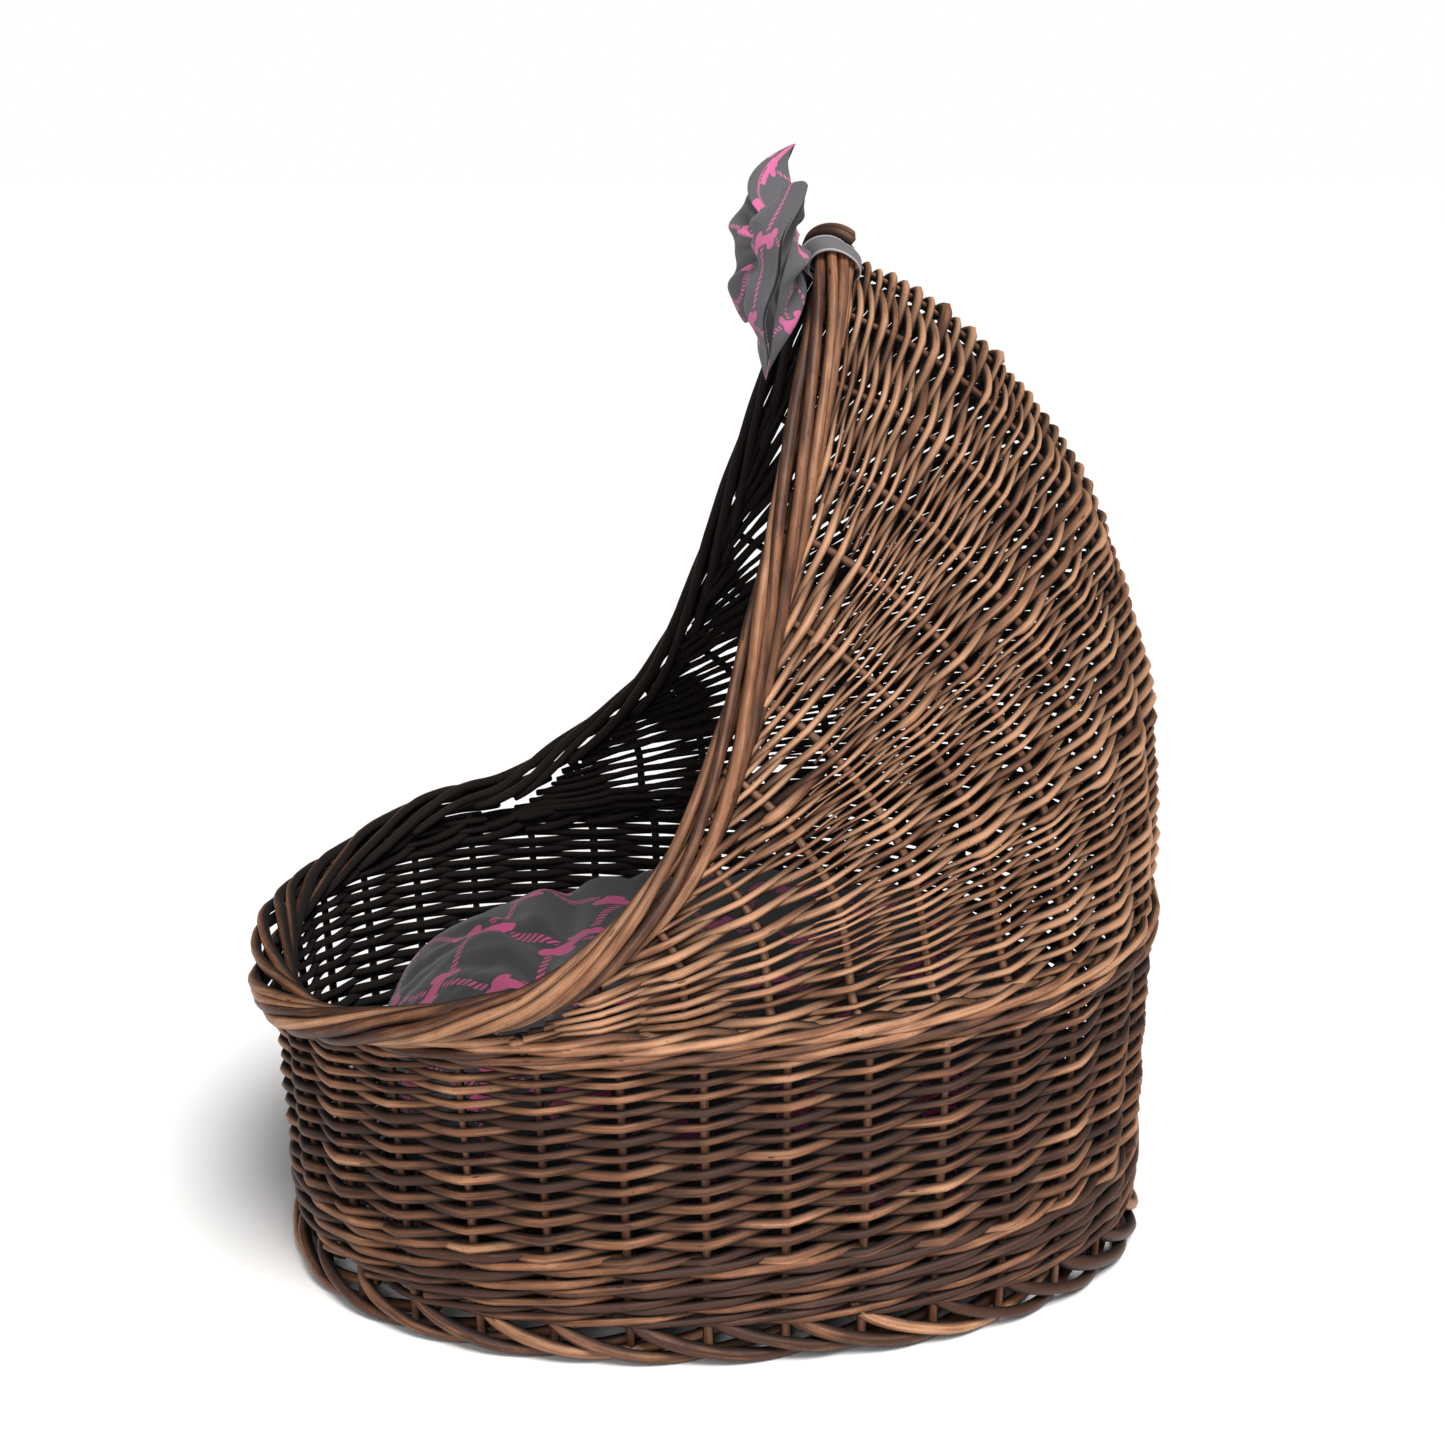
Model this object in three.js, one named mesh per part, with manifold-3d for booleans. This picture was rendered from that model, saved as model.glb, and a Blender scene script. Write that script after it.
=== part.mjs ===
// A hooded wicker pet basket: an oval willow basket whose back rises into a hood, with a
// plaited border all round its mouth, a loose cushion inside and a fabric bow on the peak.
// Millimetres, +Z up, the mouth faces -Y, and the object is symmetric about the plane X = 0.
import * as THREE from 'three';
import { mergeVertices } from 'three/addons/utils/BufferGeometryUtils.js';
import Module from 'manifold-3d';

const wasm = await Module();
wasm.setup();

// ---------------------------------------------------------------- driving dimensions
const OVAL_POWER = 2.3; // plan outline: an oval a little squarer than an ellipse
const BASE = { halfWidth: 214, halfLength: 286, y: 7.5 }; // line of the stakes at the floor
const SHOULDER = { halfWidth: 238, halfLength: 295, y: 3.5, z: 221, tilt: 0.044 };
const CORNER_Y = -152.5; // where the hood's edge leaves the shoulder
const PEAK = { y: 82.5, z: 661 };

const STAKE_COUNT = 34;
const STAKE_RADIUS = 3.5;
const STAKE_INSET = 8; // the stakes stand just inside the woven shells
const STAKE_FOOT_Z = 27;
const WEAVE_THICKNESS = 7;
const GAP = 0.3; // between pieces that touch
const COLUMNS = 2 * STAKE_COUNT; // facets round each oval ring

const FOOT = { height: 26, halfWidth: 9, corner: 5 };
const UPSETT = { bottom: FOOT.height + GAP, top: 75, thickness: 10, bevel: 2 };
const SHOULDER_BAND = { below: 10, above: 8, thickness: 10, bevel: 3, frontY: -225 };

const BORDER = {
  rimHalfWidth: 17, hoodHalfWidth: 11, halfHeight: 14, out: 2, cut: 0.5,
  frontLift: -5, cornerLift: 16, hoodLift: 0, // how far its middle stands off the woven edge
};
const BASE_PANEL = { bottom: 26, top: 36, inset: 13.5 };
const BASE_STICK_RADIUS = 3.2;
const CUSHION = { halfWidth: 190, halfLength: 244, y: 12, bottom: 36.4, top: 198, crown: 0.6, side: 0.5 };

// ---------------------------------------------------------------- small helpers
const vec = (x, y, z) => new THREE.Vector3(x, y, z);
const mix = THREE.MathUtils.lerp;
const signedPower = (value, power) => Math.sign(value) * Math.abs(value) ** power;

function material(colour, roughness) {
  return new THREE.MeshStandardMaterial({ color: colour, roughness, metalness: 0 });
}

function meshFrom(name, geometry, finish) {
  const mesh = new THREE.Mesh(geometry, finish);
  mesh.name = name;
  return mesh;
}

// A closed skin through rings of points. Each ring is a closed polygon. The rings either
// join end to end (loop) or are closed by a fan at the first and the last of them.
function skin(rings, loop) {
  const count = rings[0].length;
  const points = rings.flat();
  const index = [];
  const last = loop ? rings.length : rings.length - 1;
  for (let i = 0; i < last; i++) {
    const next = (i + 1) % rings.length;
    for (let j = 0; j < count; j++) {
      const k = (j + 1) % count;
      index.push(i * count + j, next * count + k, i * count + k);
      index.push(i * count + j, next * count + j, next * count + k);
    }
  }
  if (!loop) {
    for (const [ring, flip] of [[0, true], [rings.length - 1, false]]) {
      const centre = rings[ring].reduce((sum, p) => sum.add(p), vec(0, 0, 0)).divideScalar(count);
      points.push(centre);
      for (let j = 0; j < count; j++) {
        const a = ring * count + j;
        const b = ring * count + ((j + 1) % count);
        index.push(points.length - 1, flip ? a : b, flip ? b : a);
      }
    }
  }
  const geometry = new THREE.BufferGeometry().setFromPoints(points);
  geometry.setIndex(index);
  return facingOut(geometry);
}

// Turns every triangle over when the skin encloses a negative volume.
function facingOut(geometry) {
  const p = geometry.getAttribute('position');
  const index = [...geometry.getIndex().array];
  const corner = (i) => vec(p.getX(i), p.getY(i), p.getZ(i));
  let volume = 0;
  for (let i = 0; i < index.length; i += 3) {
    const [a, b, c] = [corner(index[i]), corner(index[i + 1]), corner(index[i + 2])];
    volume += a.dot(b.cross(c));
  }
  if (volume < 0) {
    index.reverse();
  }
  geometry.setIndex(index);
  return geometry;
}

function toSolid(geometry) {
  const bare = geometry.clone();
  bare.deleteAttribute('normal');
  bare.deleteAttribute('uv');
  const merged = mergeVertices(bare, 1e-4);
  const vertProperties = new Float32Array(merged.getAttribute('position').array);
  const triVerts = new Uint32Array(merged.getIndex().array);
  return new wasm.Manifold(new wasm.Mesh({ numProp: 3, vertProperties, triVerts }));
}

function toGeometry(solid) {
  const cut = solid.getMesh();
  const geometry = new THREE.BufferGeometry();
  geometry.setAttribute('position', new THREE.BufferAttribute(cut.vertProperties, 3));
  geometry.setIndex(new THREE.BufferAttribute(cut.triVerts, 1));
  return geometry;
}

// The largest piece that is left after the cutters are taken away.
function cutBy(geometry, cutters) {
  const rest = cutters.reduce((solid, cutter) => solid.subtract(toSolid(cutter)), toSolid(geometry));
  const pieces = rest.decompose().sort((a, b) => b.volume() - a.volume());
  return toGeometry(pieces[0]);
}

// A round rod along a curve.
function rod(curve, radius, sides, steps) {
  const section = new THREE.Shape();
  for (let i = 0; i < sides; i++) {
    const angle = (2 * Math.PI * i) / sides;
    const [x, y] = [radius * Math.cos(angle), radius * Math.sin(angle)];
    if (i === 0) {
      section.moveTo(x, y);
    } else {
      section.lineTo(x, y);
    }
  }
  return new THREE.ExtrudeGeometry(section, { steps, extrudePath: curve });
}

// ---------------------------------------------------------------- the basket's surface
// The wall below the shoulder. level runs from 0 at the floor to 1 at the shoulder, and
// angle from 0 at the back (+Y) through +X at a quarter turn.
function wallPoint(level, angle, out = 0) {
  const halfWidth = mix(BASE.halfWidth, SHOULDER.halfWidth, level) + out;
  const halfLength = mix(BASE.halfLength, SHOULDER.halfLength, level) + out;
  const x = halfWidth * signedPower(Math.sin(angle), 2 / OVAL_POWER);
  const y = halfLength * signedPower(Math.cos(angle), 2 / OVAL_POWER);
  const z = level * SHOULDER.z + level ** 3 * SHOULDER.tilt * y;
  return vec(x, mix(BASE.y, SHOULDER.y, level) + y, z);
}

// Angles that space points evenly along the oval.
function evenAngles(count) {
  const fine = 3600;
  const lengths = [0];
  for (let i = 1; i <= fine; i++) {
    const a = wallPoint(0.5, (2 * Math.PI * (i - 1)) / fine);
    const b = wallPoint(0.5, (2 * Math.PI * i) / fine);
    lengths.push(lengths[i - 1] + a.distanceTo(b));
  }
  const angles = [];
  let j = 0;
  for (let i = 0; i < count; i++) {
    const target = (lengths[fine] * i) / count;
    while (lengths[j + 1] < target) {
      j++;
    }
    const part = (target - lengths[j]) / (lengths[j + 1] - lengths[j]);
    angles.push((2 * Math.PI * (j + part)) / fine);
  }
  return angles;
}

// The corner on the shoulder where the hood's edge starts, and the edge's rise from there.
function shoulderCorner() {
  const across = Math.abs(CORNER_Y - SHOULDER.y) / SHOULDER.halfLength;
  const x = SHOULDER.halfWidth * (1 - across ** OVAL_POWER) ** (1 / OVAL_POWER);
  return vec(x, CORNER_Y, SHOULDER.z + SHOULDER.tilt * (CORNER_Y - SHOULDER.y));
}

const hoodEdge = new THREE.CatmullRomCurve3([
  shoulderCorner(),
  vec(228, -110, 228),
  vec(232, -73, 259),
  vec(217, -43, 295),
  vec(192, -19, 335),
  vec(163, 7.5, 395),
  vec(136, 27.5, 462),
], false, 'chordal');

const hoodSpine = new THREE.CatmullRomCurve3([
  wallPoint(1, 0),
  vec(0, 300.5, 300),
  vec(0, 296.5, 368),
  vec(0, 279.5, 440),
  vec(0, 250.5, 510),
  vec(0, 206.5, 572),
  vec(0, 151.5, 622),
  vec(0, PEAK.y, PEAK.z),
], false, 'chordal');

// Row t of the hood, from the shoulder (t = 0) to the arch of the mouth (t = 1), as count
// points from the spine to the edge on side +X. Every row is a flat arc: half an oval that
// is widest behind the edge low down, and that narrows from the edge on near the arch.
function hoodRow(t, count) {
  const edge = hoodEdge.getPointAt(t);
  const spine = hoodSpine.getPointAt(t);
  const power = mix(OVAL_POWER, 1.5, t);
  const widest = mix(0.34, -1, t); // as a share of the way from the edge to the spine
  const cosine = signedPower(-widest / (1 - widest), power / 2);
  const endAngle = Math.acos(cosine);
  const halfWidth = edge.x / Math.sin(endAngle) ** (2 / power);
  const points = [];
  for (let i = 0; i < count; i++) {
    const angle = (endAngle * i) / (count - 1);
    const along = widest + (1 - widest) * signedPower(Math.cos(angle), 2 / power);
    const x = halfWidth * Math.sin(angle) ** (2 / power);
    points.push(vec(x, mix(edge.y, spine.y, along), mix(edge.z, spine.z, along)));
  }
  return points;
}

// The point at a distance from the spine along a row, or null past the row's end.
function alongRow(points, distance) {
  let left = distance;
  for (let i = 1; i < points.length; i++) {
    const step = points[i].distanceTo(points[i - 1]);
    if (left <= step) {
      return points[i - 1].clone().lerp(points[i], left / step);
    }
    left -= step;
  }
  return null;
}

function evenRow(t, count) {
  const fine = hoodRow(t, 160);
  const length = fine.slice(1).reduce((sum, p, i) => sum + p.distanceTo(fine[i]), 0);
  const points = [];
  for (let i = 0; i < count; i++) {
    points.push(alongRow(fine, (length * 0.99999 * i) / (count - 1)));
  }
  return points;
}

// The outward direction: the basket and hood lie close to an ellipsoid above the shoulder.
function outward(p) {
  const rise = Math.max(0, p.z - SHOULDER.z) / 450 ** 2;
  return vec(p.x / SHOULDER.halfWidth ** 2, (p.y - SHOULDER.y) / SHOULDER.halfLength ** 2, rise).normalize();
}

const mirrored = (p) => vec(-p.x, p.y, p.z);

// ---------------------------------------------------------------- rings and shells
// A ring round the wall whose section is given as [out, z above the floor] pairs.
function wallRing(section) {
  const levelOf = (z) => z / SHOULDER.z;
  const rings = evenAngles(COLUMNS).map((angle) => (
    section.map(([out, z]) => wallPoint(levelOf(z), angle, out))
  ));
  return skin(rings, true);
}

function footBorder() {
  const { height, halfWidth, corner } = FOOT;
  const flat = halfWidth - corner;
  const section = [
    [-flat, 0], [flat, 0], [halfWidth, corner], [halfWidth, height - corner],
    [flat, height], [-flat, height], [-halfWidth, height - corner], [-halfWidth, corner],
  ];
  const rings = evenAngles(COLUMNS).map((angle) => section.map(([out, z]) => {
    const p = wallPoint(0, angle, out);
    return vec(p.x, p.y, z);
  }));
  return skin(rings, true);
}

function upsettWale() {
  const middle = (UPSETT.bottom + UPSETT.top) / 2;
  return wallRing([
    [0, UPSETT.bottom], [UPSETT.thickness - UPSETT.bevel, UPSETT.bottom], [UPSETT.thickness, middle],
    [UPSETT.thickness - UPSETT.bevel, UPSETT.top], [0, UPSETT.top],
  ]);
}

function lowerSiding() {
  const bottom = UPSETT.top + GAP;
  const top = SHOULDER.z - SHOULDER_BAND.below - GAP;
  return wallRing([[0, bottom], [WEAVE_THICKNESS, bottom], [WEAVE_THICKNESS, top], [0, top]]);
}

// The band round the back of the shoulder. Its ends run forward under the rim's border.
function shoulderBand(extra = 0) {
  const low = SHOULDER.z - SHOULDER_BAND.below - extra;
  const high = SHOULDER.z + SHOULDER_BAND.above + extra;
  const full = SHOULDER_BAND.thickness + extra;
  const angles = evenAngles(COLUMNS).filter((angle) => wallPoint(1, angle).y > SHOULDER_BAND.frontY);
  const fromLeft = [...angles.filter((a) => a > Math.PI), ...angles.filter((a) => a <= Math.PI)];
  const { bevel } = SHOULDER_BAND;
  const section = [[-extra, low], [full, low + bevel], [full, high - bevel], [-extra, high]];
  const rings = fromLeft.map((angle) => (
    section.map(([out, z]) => wallPoint(z / SHOULDER.z, angle, out))
  ));
  return skin(rings, false);
}

// The hood's woven shell, from just above the shoulder band to the arch.
function hoodShell() {
  const rows = 17;
  const columns = 22;
  const grid = [];
  for (let i = 0; i < rows; i++) {
    const side = evenRow(i / (rows - 1), columns);
    grid.push([...side.slice(1).reverse().map(mirrored), ...side]);
  }
  const lift = SHOULDER_BAND.above + GAP;
  for (const p of grid[0]) {
    p.z += lift;
  }
  const outer = grid.map((row) => row.map((p) => p.clone().addScaledVector(outward(p), WEAVE_THICKNESS)));
  const across = grid[0].length;
  const rings = [];
  for (let j = 0; j < across; j++) {
    const inside = grid.map((row) => row[j]);
    const outside = outer.map((row) => row[j]);
    rings.push([...inside, ...outside.reverse()]);
  }
  return skin(rings, false);
}

// ---------------------------------------------------------------- the plaited border
// One closed loop: along the front rim, up one side of the hood, over the peak and down.
function borderLine() {
  const { smoothstep } = THREE.MathUtils;
  const front = [];
  const start = Math.acos(signedPower((CORNER_Y - SHOULDER.y) / SHOULDER.halfLength, OVAL_POWER / 2));
  const frontSteps = 10;
  for (let i = 0; i < frontSteps; i++) {
    const point = wallPoint(1, mix(Math.PI, start, i / frontSteps));
    const lift = mix(BORDER.frontLift, BORDER.cornerLift, smoothstep(i / frontSteps, 0, 1));
    front.push({ point, lift });
  }
  const onHood = (point) => {
    const rise = smoothstep(point.z, SHOULDER.z, SHOULDER.z + 120);
    return { point, lift: mix(BORDER.cornerLift, BORDER.hoodLift, rise) };
  };
  const side = hoodEdge.getSpacedPoints(11).slice(0, -1).map(onHood);
  const arch = evenRow(1, 9).reverse().map(onHood);
  const half = [...front, ...side, ...arch];
  const other = half.slice(1, -1).reverse();
  return [...half, ...other.map(({ point, lift }) => ({ point: mirrored(point), lift }))];
}

function borderRings(extra = 0) {
  const line = borderLine();
  const count = line.length;
  const frames = line.map(({ point: p, lift }, i) => {
    const after = line[(i + 1) % count].point;
    const before = line[(i + count - 1) % count].point;
    const tangent = after.clone().sub(before).normalize();
    const normal = outward(p);
    normal.addScaledVector(tangent, -normal.dot(tangent)).normalize();
    const away = normal.clone().cross(tangent).normalize();
    const hood = THREE.MathUtils.smoothstep(p.z, SHOULDER.z, SHOULDER.z + 120);
    return { p, normal, away, hood, lift };
  });
  const sides = 8;
  return frames.map(({ p, normal, away, hood, lift }) => {
    const centre = p.clone().addScaledVector(normal, BORDER.out).addScaledVector(away, lift);
    const halfWidth = mix(BORDER.rimHalfWidth, BORDER.hoodHalfWidth, hood) + extra;
    const ring = [];
    for (let j = 0; j < sides; j++) {
      const angle = (2 * Math.PI * (j + 0.5)) / sides;
      ring.push(centre.clone()
        .addScaledVector(normal, halfWidth * Math.cos(angle))
        .addScaledVector(away, (BORDER.halfHeight + extra) * Math.sin(angle)));
    }
    return ring;
  });
}

const rimBorder = (extra = 0) => skin(borderRings(extra), true);

// ---------------------------------------------------------------- stakes and base
// The stake at an angle: straight up the wall, and behind the corner on up the hood,
// always as far from the spine, until it meets the border.
function stakeCurve(angle, borderCentres) {
  const clearance = BORDER.rimHalfWidth + STAKE_RADIUS + 4;
  const points = [];
  const add = (p) => {
    const inside = p.clone().addScaledVector(outward(p), -STAKE_INSET);
    if (borderCentres.every((centre) => centre.distanceTo(inside) > clearance)) {
      points.push(inside);
      return true;
    }
    return false;
  };
  const levels = 5;
  let open = true;
  for (let i = 0; i < levels && open; i++) {
    open = add(wallPoint(mix(STAKE_FOOT_Z / SHOULDER.z, 0.97, i / (levels - 1)), angle));
  }
  const top = wallPoint(1, angle);
  if (open && top.y > CORNER_Y) {
    const distance = distanceFromSpine(top);
    const rows = 30;
    for (let i = 1; i <= rows && open; i++) {
      const p = alongRow(hoodRow(i / rows, 80), distance);
      open = p !== null && add(top.x < 0 ? mirrored(p) : p);
    }
  }
  return new THREE.CatmullRomCurve3(points, false, 'chordal');
}

function distanceFromSpine(p) {
  const row = hoodRow(0, 400);
  let length = 0;
  let best = { gap: Infinity, length: 0 };
  for (let i = 0; i < row.length; i++) {
    length += i > 0 ? row[i].distanceTo(row[i - 1]) : 0;
    const gap = row[i].distanceTo(vec(Math.abs(p.x), p.y, p.z));
    best = gap < best.gap ? { gap, length } : best;
  }
  return best.length;
}

function stakes(finish) {
  const centres = borderRings().map((ring) => (
    ring.reduce((sum, p) => sum.add(p), vec(0, 0, 0)).divideScalar(ring.length)
  ));
  return evenAngles(STAKE_COUNT).map((angle, i) => {
    const curve = stakeCurve(angle, centres);
    const steps = Math.ceil(curve.getLength() / 34);
    return meshFrom(`stake_${String(i + 1).padStart(2, '0')}`, rod(curve, STAKE_RADIUS, 6, steps), finish);
  });
}

function basePanel() {
  const outline = evenAngles(COLUMNS).map((angle) => wallPoint(0, angle, -BASE_PANEL.inset));
  const shape = new THREE.Shape(outline.map((p) => new THREE.Vector2(p.x, p.y)));
  const geometry = new THREE.ExtrudeGeometry(shape, {
    depth: BASE_PANEL.top - BASE_PANEL.bottom, bevelEnabled: false, steps: 1,
  });
  return geometry.translate(0, 0, BASE_PANEL.bottom);
}

// Long sticks lie along Y under the cross sticks, which lie along X under the panel.
function baseSticks(finish) {
  const crossZ = BASE_PANEL.bottom - GAP - BASE_STICK_RADIUS;
  const longZ = crossZ - 2 * BASE_STICK_RADIUS - GAP;
  const meshes = [];
  const add = (name, from, to) => {
    const geometry = rod(new THREE.LineCurve3(from, to), BASE_STICK_RADIUS, 8, 1);
    meshes.push(meshFrom(name, geometry, finish));
  };
  [-26, 0, 26].forEach((x, i) => {
    add(`base_stick_long_${i + 1}`, vec(x, BASE.y - 262, longZ), vec(x, BASE.y + 262, longZ));
  });
  const crossCount = 7;
  for (let i = 0; i < crossCount; i++) {
    const offset = 52 * (i - (crossCount - 1) / 2);
    const share = Math.abs(offset) / (BASE.halfLength - 24);
    const reach = (BASE.halfWidth - 24) * (1 - share ** OVAL_POWER) ** (1 / OVAL_POWER);
    const y = BASE.y + offset;
    add(`base_stick_cross_${i + 1}`, vec(-reach, y, crossZ), vec(reach, y, crossZ));
  }
  return meshes;
}

// ---------------------------------------------------------------- soft pieces
// A plump oval pillow, flatter underneath where it rests on the base.
function cushion() {
  const middle = mix(CUSHION.bottom, CUSHION.top, 0.45);
  const around = 32;
  const levels = 10;
  const rings = [];
  for (let i = 1; i < levels; i++) {
    const tilt = mix(-Math.PI / 2, Math.PI / 2, i / levels);
    const rise = Math.sin(tilt);
    const height = rise < 0 ? middle - CUSHION.bottom : CUSHION.top - middle;
    const z = middle + height * signedPower(rise, rise < 0 ? 0.5 : CUSHION.crown);
    const width = Math.cos(tilt) ** CUSHION.side;
    rings.push(Array.from({ length: around }, (_, j) => {
      const angle = (2 * Math.PI * j) / around;
      const x = CUSHION.halfWidth * width * signedPower(Math.sin(angle), 2 / OVAL_POWER);
      const y = CUSHION.halfLength * width * signedPower(Math.cos(angle), 2 / OVAL_POWER);
      return vec(x, CUSHION.y + y, z);
    }));
  }
  return skin(rings, false);
}

// One wing of the bow: a gathered fold that opens out from the knot. Each section is a
// slanted oval [x, centre y, centre z, half height, half depth, lean of y with z].
function bowWing(side, drop) {
  const sections = [
    [13, 47, 664, 13, 9, 0],
    [30, 40, 662, 34, 13, 0.1],
    [58, 32, 658, 52, 15, 0.2],
    [80, 30, 655, 58, 12, 0.22],
  ];
  const sides = 12;
  const rings = sections.map(([x, y, z, halfHeight, halfDepth, lean]) => (
    Array.from({ length: sides }, (_, j) => {
      const angle = (2 * Math.PI * j) / sides;
      const up = halfHeight * Math.cos(angle);
      const fall = drop * (x / 80);
      return vec(side * x, y + halfDepth * Math.sin(angle) + lean * up, z + up - fall);
    })
  ));
  return skin(rings, false);
}

function bowKnot() {
  return new THREE.SphereGeometry(1, 12, 8).scale(12, 13, 15).translate(0, 46, 665);
}

// The ribbon that holds the bow: a flat loop round the border at the peak.
function ribbonLoop(thickness, halfWidth, clearance) {
  const rings = borderRings(clearance);
  const peak = rings.reduce((best, ring) => (ring[0].z > best[0].z ? ring : best));
  const centre = peak.reduce((sum, p) => sum.add(p), vec(0, 0, 0)).divideScalar(peak.length);
  const loop = [];
  for (const p of peak) {
    const flat = vec(0, p.y, p.z);
    const out = flat.clone().sub(vec(0, centre.y, centre.z)).normalize();
    const far = flat.clone().addScaledVector(out, thickness);
    loop.push([
      vec(-halfWidth, flat.y, flat.z), vec(halfWidth, flat.y, flat.z),
      vec(halfWidth, far.y, far.z), vec(-halfWidth, far.y, far.z),
    ]);
  }
  return skin(loop, true);
}

// ---------------------------------------------------------------- the assembly
const willow = material(0x6f4a33, 0.6);
const willowDark = material(0x5a3a28, 0.65);
const willowLight = material(0x8a5f42, 0.55);
const printedFabric = material(0x5b585d, 0.9);
const ribbonFabric = material(0x77737a, 0.85);

const borderCut = rimBorder(BORDER.cut);
const ribbonCut = ribbonLoop(1.8, 7.5, 4.7);
const bandCut = shoulderBand(0.5);

const basket = new THREE.Group();
basket.add(
  meshFrom('foot_border', footBorder(), willowLight),
  meshFrom('upsett_wale', upsettWale(), willow),
  meshFrom('lower_siding', cutBy(lowerSiding(), [borderCut]), willow),
  meshFrom('shoulder_wale', cutBy(shoulderBand(), [borderCut]), willowDark),
  meshFrom('hood_siding', cutBy(hoodShell(), [borderCut, ribbonCut, bandCut]), willow),
  meshFrom('rim_border', rimBorder(), willowLight),
  meshFrom('base_panel', basePanel(), willowDark),
  ...baseSticks(willowDark),
  ...stakes(willowDark),
  meshFrom('cushion', cushion(), printedFabric),
  meshFrom('bow_wing_right', bowWing(1, 14), printedFabric),
  meshFrom('bow_wing_left', bowWing(-1, -14), printedFabric),
  meshFrom('bow_knot', bowKnot(), printedFabric),
  meshFrom('bow_ribbon', ribbonLoop(1.2, 7, 5), ribbonFabric),
);

export default basket;
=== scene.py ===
"""A hooded wicker pet basket with a printed cushion and a fabric bow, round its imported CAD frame.

Every willow rod is a swept tube of its own. Lengths in the weaving code are millimetres in the
CAD frame (+Z up, the mouth faces -Y); they become metres where a mesh is made.
"""

import math

import bmesh
import bpy
import numpy as np
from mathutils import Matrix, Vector


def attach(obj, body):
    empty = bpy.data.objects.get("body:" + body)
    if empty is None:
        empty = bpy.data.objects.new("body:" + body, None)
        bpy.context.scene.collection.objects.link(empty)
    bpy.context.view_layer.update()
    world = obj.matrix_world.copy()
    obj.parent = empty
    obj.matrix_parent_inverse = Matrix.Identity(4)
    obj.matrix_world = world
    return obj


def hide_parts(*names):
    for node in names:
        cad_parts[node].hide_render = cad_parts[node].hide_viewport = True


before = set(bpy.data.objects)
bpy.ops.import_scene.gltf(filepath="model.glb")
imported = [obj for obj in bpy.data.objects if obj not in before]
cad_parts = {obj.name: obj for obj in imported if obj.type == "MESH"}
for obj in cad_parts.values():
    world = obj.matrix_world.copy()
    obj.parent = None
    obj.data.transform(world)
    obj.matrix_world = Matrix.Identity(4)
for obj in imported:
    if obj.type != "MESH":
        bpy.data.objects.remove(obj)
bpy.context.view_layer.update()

MM = 0.001
rng = np.random.default_rng(20240)

# ---------------------------------------------------------------- driving dimensions
OVAL_POWER = 2.3               # 2 is an ellipse, more is squarer
BASE = {"half_width": 214, "half_length": 286, "y": 7.5}
SHOULDER = {"half_width": 238, "half_length": 295, "y": 3.5, "z": 221, "tilt": 0.044}
CORNER_Y = -152.5              # where the front rim ends and the hood's edge begins
PEAK = {"y": 82.5, "z": 661}
STAKES = 34
STAKE_RADIUS = 3.1
STAKE_OUT = -3.0               # the stakes' middles, off the CAD surface line; below 0 is inside
WALE = (28.0, 73.0)            # bottom and top of the upsett wale
SIDING = (73.0, 212.0)
# The border's half sizes on the rim and on the hood, and how far it stands off their edges.
BORDER = {
    "rim_half_width": 17, "rim_half_height": 12, "hood_half_width": 11, "half_height": 14, "out": 2,
    "front_lift": -5, "corner_lift": 21, "hood_lift": 0, "rise": 120, "tilt": 6,
}
HOOD_ROWS = 104
BASE_Z = 27.0
CROSS_STEP = 52.0              # between the base's cross sticks
CUSHION = {"half_width": 190, "half_length": 244, "y": 12, "bottom": 36.4, "top": 198}
KNOT = (0, 46, 665)
STEPS = 9                      # points of a rod between two stakes


def mix(a, b, t):
    return a + (b - a) * t


def signed_power(value, power):
    return np.sign(value) * np.abs(value) ** power


def smooth(x, low=0.0, high=1.0):
    t = np.clip((np.asarray(x, float) - low) / (high - low), 0, 1)
    return t * t * (3 - 2 * t)


def unit(v):
    return v / np.maximum(np.linalg.norm(v, axis=-1, keepdims=True), 1e-9)


def lengths_along(points):
    steps = np.linalg.norm(np.diff(points, axis=0), axis=1)
    return np.concatenate([[0], np.cumsum(steps)])


def interpolate(at, along, values):
    """The columns of values, which are known at the distances along, looked up at others."""
    return np.stack([np.interp(at, along, column) for column in values.T], -1)


def resample(points, at):
    """The polyline's points at the given distances along it."""
    return interpolate(at, lengths_along(points), points)


# ---------------------------------------------------------------- the basket's surface
def oval(angle, half_width, half_length):
    """A point of a squarish oval round the origin, angle 0 on +Y."""
    power = 2 / OVAL_POWER
    return half_width * signed_power(np.sin(angle), power), half_length * signed_power(np.cos(angle), power)


def wall(level, angle, out=0.0):
    """A point of the wall: level 0 at the floor to 1 at the shoulder, angle 0 at the back."""
    level, angle = np.broadcast_arrays(np.asarray(level, float), np.asarray(angle, float))
    half_width = mix(BASE["half_width"], SHOULDER["half_width"], level) + out
    half_length = mix(BASE["half_length"], SHOULDER["half_length"], level) + out
    x, y = oval(angle, half_width, half_length)
    z = level * SHOULDER["z"] + level**3 * SHOULDER["tilt"] * y
    return np.stack([x, mix(BASE["y"], SHOULDER["y"], level) + y, z], -1)


FINE_ANGLES = np.linspace(0, 2 * math.pi, 3601)
MID_RING = wall(0.5, FINE_ANGLES)
RING_SHARE = lengths_along(MID_RING) / lengths_along(MID_RING)[-1]


def angle_at(place):
    """The angle of a place counted in stakes from the back, in the way the rods are woven:
    by the -X side to the front and back by the +X side."""
    turns = -np.asarray(place, float) / STAKES
    whole = np.floor(turns)
    return np.interp(turns - whole, RING_SHARE, FINE_ANGLES) + 2 * math.pi * whole


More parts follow.
